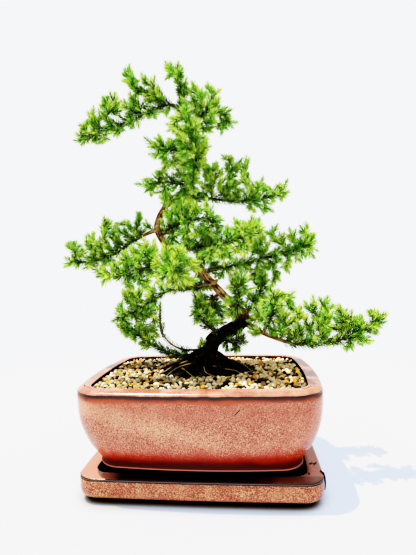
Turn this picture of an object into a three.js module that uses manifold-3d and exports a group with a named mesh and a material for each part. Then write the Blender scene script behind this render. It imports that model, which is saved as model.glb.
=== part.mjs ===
/**
 * A juniper bonsai in a rectangular glazed pot on its shallow tray.
 *
 * Millimetres, +Z up, the front of the tree towards -Y. The pieces are laid out round the upright
 * axis of the pot, with the table at z = 0, and the whole group is then moved so that its origin
 * is the centre of the base of its bounding box.
 */
import * as THREE from 'three';
import { mergeVertices } from 'three/addons/utils/BufferGeometryUtils.js';
import Module from 'manifold-3d';

const wasm = await Module();
wasm.setup();

// ---------------------------------------------------------------- driving dimensions

const SEAT_GAP = 0.35; // between pieces that rest on or in each other

// Pot. The half sizes are those of its rim, measured at the ends of the bowed sides.
const POT = {
  halfX: 99,
  halfY: 74,
  corner: 26,
  bow: 3,
  rimTop: 90.7,
  lip: 86.8, // underside of the rounded rim
  footLine: 26, // where the glaze ends
  floor: 28, // inside
};
const POT_PROFILE = [
  // [height, inset from the rim's outline]
  [POT.footLine, 15.4],
  [27.4, 16],
  [31, 14.9],
  [35, 12.8],
  [41, 9.4],
  [47, 6.6],
  [56, 3.4],
  [65, 1.3],
  [76, 0.2],
  [POT.lip, 0],
  [88.9, 0.7],
  [90.3, 2.6],
  [POT.rimTop, 6],
];
const POT_OPENING = { halfX: 88, halfY: 63, corner: 14, bow: 2.5 };
const POT_INSIDE = [
  // [height, inset from the opening's outline]
  [POT.rimTop, 0.2],
  [89.4, -0.4],
  [80, 0.2],
  [56, 3],
  [41, 8],
  [POT.floor, 16],
];
const POT_FOOT = { halfX: 75, halfY: 46, corner: 16, recess: 4, wall: 7 };
const DRAIN_HOLE = { radius: 7, spacing: 76 };
const DRAIN_NOTCH = { width: 16, height: 3 };
const DRAIN_MESH = { side: 24, thickness: 1.2 };

// Tray.
const TRAY = { halfX: 97.5, halfY: 66.5, corner: 15, bow: 1, underside: 4, lip: 21, floor: 12 };
const TRAY_PROFILE = [
  // [height, inset from the lip's outline], underneath, up the wall and down inside
  [TRAY.underside, 5.5],
  [5.2, 2.2],
  [8.5, 0.4],
  [19.2, 0],
  [20.7, 0.8],
  [TRAY.lip, 2.4],
  [TRAY.lip - 0.2, 10.6],
  [20, 12],
  [TRAY.floor, 14],
];
const TRAY_FOOT = { radius: 10, x: 77, y: 49, sides: 16 };

// Soil, its mound round the trunk, and the gravel on its shelf.
const SOIL = { bottom: POT.floor + 2 * SEAT_GAP + DRAIN_MESH.thickness, shelf: 81 };
const MOUND = { x: 1, y: 3, halfX: 46, halfY: 30, edge: 88, peak: 97 };
const MOUND_RINGS = [
  // [share of the mound's outline, share of its rise]
  [0.86, 0.28],
  [0.64, 0.55],
  [0.42, 0.84],
  [0.26, 1],
];
const GRAVEL = { level: 88.2, rise: 1.3, relief: 1.1, around: 96, across: 10 };

// Wood. The trunk stands in a plain hole in the soil.
const PLUG = { x: 3, y: 0, radius: 9.2, bottom: 62, top: 99.5, sides: 12 };
const TRUNK_SIDES = 8;
const LIMB_SIDES = 5;
const ROOT_SIDES = 3;
const WOOD_FINENESS = 0.12;

// Needles: whorls of three round a slim green core.
const NEEDLE = { length: 6, tip: 4.5, pitch: 4.4 };
const NEEDLE_LEAN = { base: 0.92, tip: 0.5 }; // radians from the shoot's own direction
const STEM = { core: 1.5, coreTip: 1.1, bare: 7 };
const SHOOT = { core: 1.1, coreTip: 0.7, bare: 3.4 };
const ROOM = { needles: 2.1, needleAndCore: 1.1, cores: 0.6, siblings: 0.1 }; // least space between two
const FILL = { every: 2, out: 9, forward: 9, lift: 2 }; // short shoots between the listed ones
const AXIS_STEPS = 40;
const FACES_TO_TRY = 8;
const STEM_PREFERENCE = 1.3; // how much nearer a shoot must be than the stem to carry the next one
const TEST_LINE = 2.5; // a shoot is tested as lines of about this length,
const ROOT_LINES = 2; // the first of which lie where its siblings also start
const LOWEST_NEEDLE = 92.5; // over the pot

// ---------------------------------------------------------------- the tree, point by point

// [x, y, z, radius]
const TRUNK = [
  [3, 0, 97, 9],
  [4, 0, 102, 7.9],
  [6, 0, 108, 7],
  [11, -2, 118, 6.6],
  [22, -4, 126, 6.4],
  [33, -5, 132, 6.4],
  [39, -5, 139, 5.6],
  [34, -4, 147, 4.7],
  [23, 0, 157, 3.9],
  [11, 3, 170, 3.7],
  [1, 6, 181, 3.6],
  [-11, 8, 191, 3.4],
  [-24, 6, 200, 3.2],
  [-34, 1, 210, 3.2],
  [-40, -4, 224, 3.1],
  [-38, -4, 233, 3],
  [-28, 0, 250, 2.8],
  [-8, 3, 264, 2.5],
  [-1, 1, 281, 2.3],
  [0, 0, 302, 2.1],
  [-4, 0, 316, 1.9],
  [-10, 0, 329, 1.7],
];

// Each limb leaves the trunk as wood and carries a spray: a green stem with needled shoots. The
// stem runs on from the limb's cut face, and each tip is where one of its shoots ends.
const LIMBS = [
  {
    name: 'spray_top_left',
    limb: [[-8, 0, 325], [-15, -2, 334], [-20, -3, 338]],
    stem: [[-30, -5, 339], [-45, -8, 332], [-60, -10, 325], [-77, -10, 320], [-94, -8, 315], [-117, -6, 313]],
    tips: [
      [-64, -2, 379], [-41, -12, 363], [-56, 8, 359], [-74, -16, 349], [-89, -2, 351], [-97, -14, 337],
      [-113, 0, 328], [-84, -16, 305], [-102, 4, 312], [-32, -18, 345], [-45, 8, 350],
      [-76, 8, 344], [-58, -20, 316], [-100, 8, 333], [-66, -18, 336],
    ],
  },
  {
    name: 'spray_apex',
    limb: [[-9, 0, 327], [-12, 2, 336]],
    stem: [[-13, 2, 346], [-17, 3, 362], [-23, 4, 381]],
    tips: [[-35, 10, 375], [-11, -5, 366], [-26, -6, 366], [-6, 10, 355], [-26, 12, 352]],
  },
  {
    name: 'spray_top_right',
    limb: [[-3, 0, 312], [2, 6, 322]],
    stem: [[5, 9, 334], [12, 12, 338], [22, 16, 337], [35, 20, 338]],
    tips: [
      [-2, 0, 359], [8, 10, 364], [19, 14, 359], [24, 4, 343], [35, 18, 327], [24, 10, 316],
      [15, -8, 322], [9, -8, 342], [24, 28, 335],
    ],
  },
  {
    name: 'spray_crown_front',
    limb: [[-2, 2, 276], [-1, -7, 281]],
    stem: [[-1, -12, 288], [-2, -14, 300], [-5, -15, 311], [-10, -22, 332]],
    tips: [
      [-13, -28, 304], [12, -24, 299], [11, -18, 292], [-5, -30, 284], [-16, -22, 288], [-17, -16, 278], [-22, -20, 317],
      [4, -26, 316],
    ],
  },
  {
    name: 'spray_crown_back',
    limb: [[-1, 1, 281], [-1, 9, 286]],
    stem: [[-2, 14, 294], [-4, 16, 308], [-10, 19, 327], [-14, 22, 346]],
    tips: [[-24, 24, 316], [8, 24, 305], [-4, 30, 328], [-28, 22, 296], [4, 30, 288]],
  },
  {
    name: 'spray_mid_left',
    limb: [[0, 0, 296], [-6, -6, 294]],
    stem: [[-16, -14, 293], [-24, -22, 292], [-41, -34, 291]],
    tips: [[-31, -30, 303], [-38, -24, 283], [-23, -28, 296], [-27, -14, 302]],
  },
  {
    name: 'spray_mid_left_low',
    limb: [[-9, 3, 264], [-14, -4, 264]],
    stem: [[-22, -12, 264], [-31, -19, 264], [-48, -30, 258]],
    tips: [[-38, -22, 273], [-41, -24, 251], [-30, -16, 252], [-25, -22, 274]],
  },
  {
    name: 'spray_right_upper',
    limb: [[-20, 2, 255], [-6, 6, 252], [6, 10, 253]],
    stem: [[18, 14, 252], [32, 18, 251], [48, 21, 251], [62, 24, 253], [85, 24, 260]],
    tips: [
      [29, 14, 295], [46, 22, 292], [20, 24, 296], [61, 30, 273], [82, 30, 268], [63, 22, 241],
      [50, 8, 258], [39, 6, 272], [7, 14, 278], [36, 34, 281], [68, 12, 258], [46, 14, 241], [14, 8, 274],
    ],
  },
  {
    name: 'spray_middle_front',
    limb: [[-37, -2, 217], [-30, -11, 220]],
    stem: [[-22, -18, 223], [-12, -24, 226], [0, -28, 228], [22, -26, 224]],
    tips: [
      [13, -30, 240], [5, -42, 233], [-13, -38, 226], [-4, -38, 213], [-20, -26, 239],
      [-8, -26, 245], [11, -36, 214],
    ],
  },
  {
    name: 'spray_centre',
    limb: [[-25, 6, 200], [-14, -6, 203], [-4, -17, 204]],
    stem: [[7, -28, 203], [20, -40, 204], [33, -48, 206], [56, -50, 213]],
    tips: [
      [36, -50, 223], [27, -44, 220], [50, -54, 222], [48, -60, 206], [37, -56, 194], [23, -52, 191],
      [9, -42, 192], [40, -66, 210],
    ],
  },
  {
    name: 'spray_front_bright',
    limb: [[-24, 6, 199], [-24, -5, 194], [-22, -15, 191]],
    stem: [[-20, -26, 188], [-18, -37, 186], [-16, -61, 184]],
    tips: [
      [-33, -46, 191], [-25, -48, 201], [-11, -50, 200], [-28, -50, 175], [-16, -50, 168], [-3, -48, 173],
      [0, -44, 187],
    ],
  },
  {
    name: 'spray_left',
    limb: [[-40, -4, 223], [-50, -1, 220], [-58, 2, 217]],
    stem: [[-66, 5, 214], [-75, 8, 209], [-85, 11, 204], [-95, 12, 200], [-107, 11, 197], [-140, 8, 198]],
    tips: [
      [-139, 12, 216], [-124, 0, 214], [-124, 4, 189], [-110, 14, 223], [-92, 8, 238],
      [-86, 20, 231], [-71, 0, 233], [-57, -4, 240], [-106, 18, 187], [-86, 2, 190], [-94, 0, 216],
      [-122, 20, 206], [-82, 20, 217],
    ],
  },
  {
    name: 'spray_left_low',
    limb: [[-12, 8, 191], [-22, -4, 185], [-32, -18, 186]],
    stem: [[-41, -28, 187], [-50, -34, 184], [-60, -37, 180], [-89, -38, 183]],
    tips: [
      [-83, -34, 173], [-45, -34, 208], [-65, -44, 191], [-57, -40, 168],
      [-68, -50, 182], [-52, -48, 191], [-42, -44, 172],
    ],
  },
  {
    name: 'spray_left_lowest',
    limb: [[11, 3, 170], [-5, 12, 168], [-25, 22, 167], [-38, 29, 164]],
    stem: [[-48, 31, 159], [-58, 32, 153], [-68, 31, 147], [-78, 30, 142], [-95, 24, 136]],
    tips: [
      [-86, 26, 165], [-94, 28, 149], [-90, 34, 128], [-83, 26, 119], [-75, 38, 160],
      [-62, 38, 168], [-76, 44, 136], [-62, 36, 126], [-49, 30, 173], [-72, 18, 150],
    ],
  },
  {
    name: 'spray_trailing',
    limb: [[5, 2, 107], [-12, 8, 104], [-27, 13, 101], [-41, 17, 104], [-53, 18, 110]],
    stem: [[-61, 19, 115], [-69, 18, 119], [-86, 10, 129]],
    tips: [[-60, 12, 107], [-79, 14, 115], [-60, 8, 131], [-73, 26, 112]],
  },
  {
    name: 'spray_whip',
    limb: [[4, -2, 111], [-8, -11, 111], [-18, -16, 113], [-27, -18, 118], [-33, -18, 125]],
    stem: [[-36, -17, 133], [-37, -15, 142], [-37, -12, 159]],
    tips: [[-29, -22, 150], [-43, -20, 144]],
  },
  {
    name: 'spray_trunk_left',
    limb: [[18, -4, 125], [12, -12, 129]],
    stem: [[6, -17, 134], [0, -20, 142], [-6, -20, 163]],
    tips: [[-3, -32, 138], [9, -26, 156], [-6, -22, 151], [18, -16, 140]],
  },
  {
    name: 'spray_right_mid',
    limb: [[1, 6, 181], [9, 11, 184], [18, 16, 186]],
    stem: [[28, 21, 188], [40, 26, 190], [56, 30, 194], [76, 30, 198], [112, 24, 210]],
    tips: [
      [104, 32, 227], [73, 34, 228], [86, 20, 213], [104, 20, 193], [82, 26, 181], [66, 24, 167],
      [55, 38, 217], [50, 40, 178], [97, 38, 206], [75, 14, 190], [40, 32, 210], [60, 16, 204], [42, 32, 170],
    ],
  },
  {
    name: 'spray_elbow_front',
    limb: [[35, -5, 143], [34, -14, 149]],
    stem: [[34, -22, 156], [35, -28, 163], [41, -38, 178]],
    tips: [[32, -30, 182], [28, -32, 166], [46, -36, 164], [24, -26, 154]],
  },
  {
    name: 'spray_elbow_back',
    limb: [[36, -4, 141], [43, 5, 146]],
    stem: [[49, 10, 152], [54, 14, 160], [60, 20, 185]],
    tips: [[67, 26, 168], [52, 12, 172], [63, 26, 155]],
  },
  {
    name: 'spray_right_inner',
    limb: [[56, -15, 126], [58, -17, 133]],
    stem: [[61, -18, 138], [65, -18, 148], [66, -14, 166]],
    tips: [[58, -22, 156], [78, -24, 164], [80, -14, 152], [56, -26, 145], [66, -18, 140], [50, -12, 141]],
  },
  {
    name: 'spray_right_low',
    limb: [[38, -5, 136], [47, -10, 130], [58, -16, 125], [69, -20, 121], [79, -22, 118]],
    stem: [[88, -22, 117], [96, -21, 117], [106, -18, 117], [117, -15, 118], [128, -13, 121], [139, -11, 126], [161, -9, 138]],
    tips: [
      [72, -24, 149], [84, -30, 150], [92, -16, 150], [97, -24, 155], [104, -16, 158],
      [114, -12, 154], [119, -24, 149], [127, -6, 145], [134, -16, 139], [142, -4, 138], [148, -14, 145],
      [157, -6, 144], [157, -12, 129], [147, -16, 116], [127, -16, 110], [106, -32, 134],
      [122, 0, 128], [97, -4, 132], [78, -24, 137],
    ],
  },
  {
    name: 'spray_base_right',
    limb: [[17, -3, 121], [24, -11, 119]],
    stem: [[30, -17, 118], [42, -28, 121]],
    tips: [[34, -26, 112], [36, -24, 128]],
  },
  {
    name: 'spray_back_middle',
    limb: [[-5, 7, 186], [-3, 18, 193], [0, 26, 200]],
    stem: [[1, 32, 207], [2, 38, 229]],
    tips: [[-16, 40, 217], [18, 44, 212], [9, 38, 193], [-11, 46, 199]],
  },
  {
    name: 'spray_back_lower',
    limb: [[17, 2, 163], [11, 13, 157], [5, 22, 152]],
    stem: [[0, 29, 148], [-6, 38, 161]],
    tips: [[-14, 42, 145], [2, 44, 134], [14, 38, 152], [-12, 36, 130]],
  },
  {
    name: 'spray_back_upper',
    limb: [[-29, 0, 248], [-26, 11, 248], [-23, 19, 249]],
    stem: [[-20, 26, 251], [-14, 40, 264]],
    tips: [[-32, 32, 243], [-37, 22, 259], [-2, 36, 266], [-14, 34, 240]],
  },
];

// Fine roots that lie on the mound: [x, y] points that start in the trunk.
const ROOTS = [
  [[8, -6], [14, -15], [22, -20], [30, -19], [36, -14]],
  [[-3, 2], [-14, 1], [-24, -1], [-31, -6], [-37, -9]],
  [[0, -6], [-9, -13], [-14, -18], [-16, -22]],
  [[10, 2], [22, 1], [31, -4], [38, -8]],
];
const ROOT_RADIUS = 0.8;

// ---------------------------------------------------------------- solids and meshes

/** A manifold solid from a closed geometry. */
function solidOf(geometry) {
  const bare = geometry.clone();
  bare.deleteAttribute('normal');
  bare.deleteAttribute('uv');
  const merged = mergeVertices(bare, 1e-4);
  return new wasm.Manifold(new wasm.Mesh({
    numProp: 3,
    vertProperties: new Float32Array(merged.attributes.position.array),
    triVerts: new Uint32Array(merged.index.array),
  }));
}

/** The geometry of a manifold solid, with flat faces. */
function geometryOf(solid) {
  const { vertProperties, triVerts } = solid.getMesh();
  const indexed = new THREE.BufferGeometry();
  indexed.setAttribute('position', new THREE.Float32BufferAttribute(vertProperties, 3));
  indexed.setIndex(Array.from(triVerts));
  const geometry = indexed.toNonIndexed();
  geometry.computeVertexNormals();
  return geometry;
}

/** A closed geometry through rings with the same number of points, capped at both ends. */
function loft(rings) {
  const count = rings[0].length;
  const centre = (ring) => ring.reduce((sum, p) => sum.add(p), new THREE.Vector3()).divideScalar(count);
  const points = [...rings.flat(), centre(rings[0]), centre(rings.at(-1))];
  const faces = [];
  const last = (rings.length - 1) * count;
  const foot = rings.length * count;
  for (let i = 0; i < count; i += 1) {
    const j = (i + 1) % count;
    for (let row = 0; row < last; row += count) {
      faces.push(row + i, row + j, row + count + j, row + i, row + count + j, row + count + i);
    }
    faces.push(foot, j, i, foot + 1, last + i, last + j);
  }
  const geometry = new THREE.BufferGeometry().setFromPoints(points);
  geometry.setIndex(faces);
  return geometry;
}

// ---------------------------------------------------------------- outlines

const CORNER_STEPS = 4;
const SIDE_STEPS = 3;

/** A rectangle with round corners and outward-bowed sides at a height, all moved in by an inset. */
function outline({ halfX, halfY, corner, bow = 0 }, z, inset = 0) {
  const radius = Math.max(corner - inset * 0.3, 4);
  const armX = halfX - inset - radius;
  const armY = halfY - inset - radius;
  const turns = [[armX, armY], [-armX, armY], [-armX, -armY], [armX, -armY]];
  const points = [];
  turns.forEach(([x, y], quarter) => {
    for (let step = 0; step <= CORNER_STEPS; step += 1) {
      const angle = (quarter + step / CORNER_STEPS) * (Math.PI / 2);
      points.push(new THREE.Vector3(x + radius * Math.cos(angle), y + radius * Math.sin(angle), z));
    }
    const [nextX, nextY] = turns[(quarter + 1) % 4];
    const outX = Math.cos((quarter + 1) * (Math.PI / 2));
    const outY = Math.sin((quarter + 1) * (Math.PI / 2));
    for (let step = 1; step < SIDE_STEPS; step += 1) {
      const t = step / SIDE_STEPS;
      const out = radius + bow * 4 * t * (1 - t);
      points.push(new THREE.Vector3(x + (nextX - x) * t + outX * out, y + (nextY - y) * t + outY * out, z));
    }
  });
  return points;
}

/** How far a ray from the axis runs before it leaves an outline. */
function reach(points, angle) {
  const dir = new THREE.Vector2(Math.cos(angle), Math.sin(angle));
  for (let i = 0; i < points.length; i += 1) {
    const a = points[i];
    const b = points[(i + 1) % points.length];
    const sideA = dir.x * a.y - dir.y * a.x;
    const sideB = dir.x * b.y - dir.y * b.x;
    if (sideA <= 0 && sideB > 0) {
      const t = sideA / (sideA - sideB);
      return dir.x * (a.x + (b.x - a.x) * t) + dir.y * (a.y + (b.y - a.y) * t);
    }
  }
  throw new Error('the outline does not go round the axis');
}

/** The pot's inside outline at a height, moved in by a gap. */
function potInside(z, gap = 0) {
  const steps = POT_INSIDE.toReversed();
  const upper = Math.max(1, steps.findIndex(([height]) => height >= z));
  const [z0, inset0] = steps[upper - 1];
  const [z1, inset1] = steps[upper];
  const inset = THREE.MathUtils.mapLinear(z, z0, z1, inset0, inset1);
  return outline(POT_OPENING, z, inset + gap);
}

/** The mound's outline: an ellipse with a slow wave, at a share of its full size. */
function moundPoint(angle, share, z, gap = 0) {
  const wave = 1 + 0.06 * Math.sin(3 * angle + 1) + 0.04 * Math.sin(5 * angle);
  const rx = MOUND.halfX * wave * share + gap;
  const ry = MOUND.halfY * wave * share + gap;
  return new THREE.Vector3(MOUND.x + rx * Math.cos(angle), MOUND.y + ry * Math.sin(angle), z);
}

/** A random number from 0 to 1 for a whole number, always the same. */
function noise(n) {
  const s = Math.sin(n * 127.1 + 311.7) * 43758.5453;
  return s - Math.floor(s);
}

// ---------------------------------------------------------------- pot, tray, soil, gravel

function buildPot() {
  const rest = TRAY.floor + SEAT_GAP;
  const inner = { ...POT_FOOT, halfX: POT_FOOT.halfX - POT_FOOT.wall, halfY: POT_FOOT.halfY - POT_FOOT.wall, corner: 10 };
  const body = solidOf(loft([
    outline(inner, rest + POT_FOOT.recess),
    outline(inner, rest),
    outline(POT_FOOT, rest),
    outline(POT_FOOT, POT.footLine),
    ...POT_PROFILE.map(([z, inset]) => outline(POT, z, inset)),
    ...POT_INSIDE.map(([z, inset]) => outline(POT_OPENING, z, inset)),
  ]));
  const cuts = [];
  for (const side of [-1, 1]) {
    const hole = new THREE.CylinderGeometry(DRAIN_HOLE.radius, DRAIN_HOLE.radius, 40, 16);
    hole.rotateX(Math.PI / 2).translate(side * DRAIN_HOLE.spacing / 2, 0, POT.floor);
    const notch = new THREE.BoxGeometry(2 * POT_FOOT.wall + 4, DRAIN_NOTCH.width, 2 * DRAIN_NOTCH.height);
    notch.translate(side * (POT_FOOT.halfX - POT_FOOT.wall / 2), 0, rest);
    cuts.push(solidOf(hole), solidOf(notch));
  }
  return body.subtract(wasm.Manifold.union(cuts));
}

function buildTray() {
  const feet = [];
  for (const x of [-TRAY_FOOT.x, TRAY_FOOT.x]) {
    for (const y of [-TRAY_FOOT.y, TRAY_FOOT.y]) {
      const height = TRAY.underside + 1;
      const foot = new THREE.CylinderGeometry(TRAY_FOOT.radius, TRAY_FOOT.radius - 0.8, height, TRAY_FOOT.sides);
      feet.push(solidOf(foot.rotateX(Math.PI / 2).translate(x, y, height / 2)));
    }
  }
  const dish = solidOf(loft(TRAY_PROFILE.map(([z, inset]) => outline(TRAY, z, inset))));
  return wasm.Manifold.union([dish, ...feet]);
}

function buildDrainMesh(side) {
  const plate = new THREE.BoxGeometry(DRAIN_MESH.side, DRAIN_MESH.side, DRAIN_MESH.thickness);
  return solidOf(plate.translate(
    side * DRAIN_HOLE.spacing / 2,
    0,
    POT.floor + SEAT_GAP + DRAIN_MESH.thickness / 2,
  ));
}

/** The height of the mound's surface at a point. */
function moundHeight(x, y) {
  const angle = Math.atan2((y - MOUND.y) / MOUND.halfY, (x - MOUND.x) / MOUND.halfX);
  const edge = moundPoint(angle, 1, 0);
  const share = Math.hypot(x - MOUND.x, y - MOUND.y) / Math.hypot(edge.x - MOUND.x, edge.y - MOUND.y);
  const steps = [[1, 0], ...MOUND_RINGS, [0, 1]];
  const k = Math.max(1, steps.findIndex(([size]) => size <= share));
  const rise = THREE.MathUtils.mapLinear(share, steps[k - 1][0], steps[k][0], steps[k - 1][1], steps[k][1]);
  return MOUND.edge + (MOUND.peak - MOUND.edge) * THREE.MathUtils.clamp(rise, 0, 1);
}

function buildSoil() {
  const wall = [SOIL.bottom, 41, 56, SOIL.shelf].map((z) => potInside(z, SEAT_GAP));
  const angles = wall[0].map((p) => Math.atan2(p.y * MOUND.halfX / MOUND.halfY, p.x));
  const ring = (share, z) => angles.map((angle) => moundPoint(angle, share, z));
  const ball = solidOf(loft([
    ...wall,
    ring(1, SOIL.shelf),
    ring(1, MOUND.edge),
    ...MOUND_RINGS.map(([share, rise]) => ring(share, MOUND.edge + (MOUND.peak - MOUND.edge) * rise)),
  ]));
  const radius = PLUG.radius + SEAT_GAP;
  const hole = new THREE.CylinderGeometry(radius, radius, 60, PLUG.sides);
  hole.rotateX(Math.PI / 2).translate(PLUG.x, PLUG.y, PLUG.bottom - SEAT_GAP + 30);
  return ball.subtract(solidOf(hole));
}

/** The top dressing: a slab round the mound whose top is raised in stones. */
function buildGravel() {
  const wall = potInside(GRAVEL.level, SEAT_GAP);
  const ring = (across, height) => Array.from({ length: GRAVEL.around }, (_, i) => {
    const angle = (i / GRAVEL.around) * 2 * Math.PI;
    const near = moundPoint(angle, 1, 0, 2 * SEAT_GAP);
    const bearing = Math.atan2(near.y, near.x);
    const far = reach(wall, bearing) - SEAT_GAP;
    const radius = THREE.MathUtils.lerp(Math.hypot(near.x, near.y), far, across);
    return new THREE.Vector3(radius * Math.cos(bearing), radius * Math.sin(bearing), height(i));
  });
  const rings = [];
  for (let row = 0; row <= GRAVEL.across; row += 1) {
    const across = row / GRAVEL.across;
    const level = GRAVEL.level + GRAVEL.rise * (1 - across);
    rings.push(ring(across, (i) => {
      const stone = (i + row) % 2 ? GRAVEL.relief : -GRAVEL.relief;
      return level + stone * (0.6 + 0.4 * noise(i + row * GRAVEL.around));
    }));
  }
  const bottom = SOIL.shelf + SEAT_GAP;
  return ringSolid([...rings, ring(1, () => bottom), ring(0, () => bottom)]);
}

/** A closed solid through rings that close on themselves, as a tube round a hole. */
function ringSolid(rings) {
  const count = rings[0].length;
  const faces = [];
  for (let row = 0; row < rings.length; row += 1) {
    const next = ((row + 1) % rings.length) * count;
    for (let i = 0; i < count; i += 1) {
      const j = (i + 1) % count;
      const here = row * count;
      faces.push(here + i, next + i, next + j, here + i, next + j, here + j);
    }
  }
  const geometry = new THREE.BufferGeometry().setFromPoints(rings.flat());
  geometry.setIndex(faces);
  return solidOf(geometry);
}

// ---------------------------------------------------------------- wood

/** The middle line of a limb through its points. */
function limbCurve(points) {
  return new THREE.CatmullRomCurve3(points.map(([x, y, z]) => new THREE.Vector3(x, y, z)), false, 'centripetal');
}

/** A tapering round limb through [x, y, z, radius] points, cut square at both ends. */
function limbSolid(points, sides, stepsPerPoint) {
  const curve = limbCurve(points);
  const steps = (points.length - 1) * stepsPerPoint;
  const { normals, binormals } = curve.computeFrenetFrames(steps);
  const rings = [];
  for (let step = 0; step <= steps; step += 1) {
    const u = step / steps;
    const along = curve.getUtoTmapping(u) * (points.length - 1);
    const at = Math.min(Math.floor(along), points.length - 2);
    const radius = THREE.MathUtils.lerp(points[at][3], points[at + 1][3], along - at);
    const centre = curve.getPointAt(u);
    rings.push(Array.from({ length: sides }, (_, side) => {
      const angle = (side / sides) * 2 * Math.PI;
      return centre.clone()
        .addScaledVector(normals[step], radius * Math.cos(angle))
        .addScaledVector(binormals[step], radius * Math.sin(angle));
    }));
  }
  return solidOf(loft(rings));
}

/** Where a limb's wood ends, and the unit direction it ends in. */
function limbEnd(points) {
  const curve = limbCurve(points);
  return { end: curve.getPointAt(1), direction: curve.getTangentAt(1) };
}

const LIMB_RADIUS = { root: 2.1, end: 1.5 };

function buildWood() {
  const plug = new THREE.CylinderGeometry(PLUG.radius, PLUG.radius, PLUG.top - PLUG.bottom, PLUG.sides);
  plug.rotateX(Math.PI / 2).translate(PLUG.x, PLUG.y, (PLUG.top + PLUG.bottom) / 2);
  const parts = [solidOf(plug), limbSolid(TRUNK, TRUNK_SIDES, 1)];
  for (const { limb } of LIMBS) {
    const tapered = limb.map((point, i) => [
      ...point,
      THREE.MathUtils.lerp(LIMB_RADIUS.root, LIMB_RADIUS.end, i / (limb.length - 1)),
    ]);
    parts.push(limbSolid(tapered, LIMB_SIDES, 1));
  }
  for (const root of ROOTS) {
    const laid = root.map(([x, y], i) => [x, y, moundHeight(x, y) + 2 * ROOT_RADIUS, ROOT_RADIUS * (1 - 0.1 * i)]);
    parts.push(limbSolid(laid, ROOT_SIDES, 1));
  }
  return wasm.Manifold.union(parts).simplify(WOOD_FINENESS);
}

// ---------------------------------------------------------------- foliage

/** Every core and needle of the tree as a line with a radius, to find room for the next one. */
class Thicket {
  constructor() {
    this.cores = [];
    this.needles = [];
  }

  /** Keeps a core's lines. Those at the root of a shoot are left out where its siblings are tested. */
  addCore(owner, spray, points, radius, rootLines = 0) {
    for (let i = 1; i < points.length; i += 1) {
      const line = new THREE.Line3(points[i - 1], points[i]);
      this.cores.push({ owner, spray, line, radius, root: i <= rootLines });
    }
  }

  /** Whether a needle has room between the needles and cores of other shoots. */
  hasNeedleRoom(owner, line) {
    const near = (other, room) => other.owner !== owner && other.line.distanceSqToLine3(line) < room * room;
    return line.end.z >= LOWEST_NEEDLE
      && !this.cores.some((core) => near(core, core.radius + ROOM.needleAndCore))
      && !this.needles.some((needle) => near(needle, ROOM.needles));
  }

  /** Whether a shoot along a path has room past its root. */
  hasShootRoom(spray, path) {
    for (let i = 1; i < path.length; i += 1) {
      const line = new THREE.Line3(path[i - 1], path[i]);
      const crossed = this.cores.some((core) => {
        const sibling = core.spray === spray;
        if (sibling && (core.root || i <= ROOT_LINES)) return false;
        const least = core.radius + SHOOT.core + (sibling ? ROOM.siblings : ROOM.cores);
        return core.line.distanceSqToLine3(line) < least * least;
      });
      if (crossed || path[i].z < LOWEST_NEEDLE) return false;
    }
    return true;
  }
}

/** Whether the straight line between two points passes through a triangle. */
function passesThrough(from, to, [a, b, c]) {
  const ray = new THREE.Ray(from, to.clone().sub(from).normalize());
  const hit = ray.intersectTriangle(a, b, c, false, new THREE.Vector3());
  return hit !== null && hit.distanceTo(from) < from.distanceTo(to);
}

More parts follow.
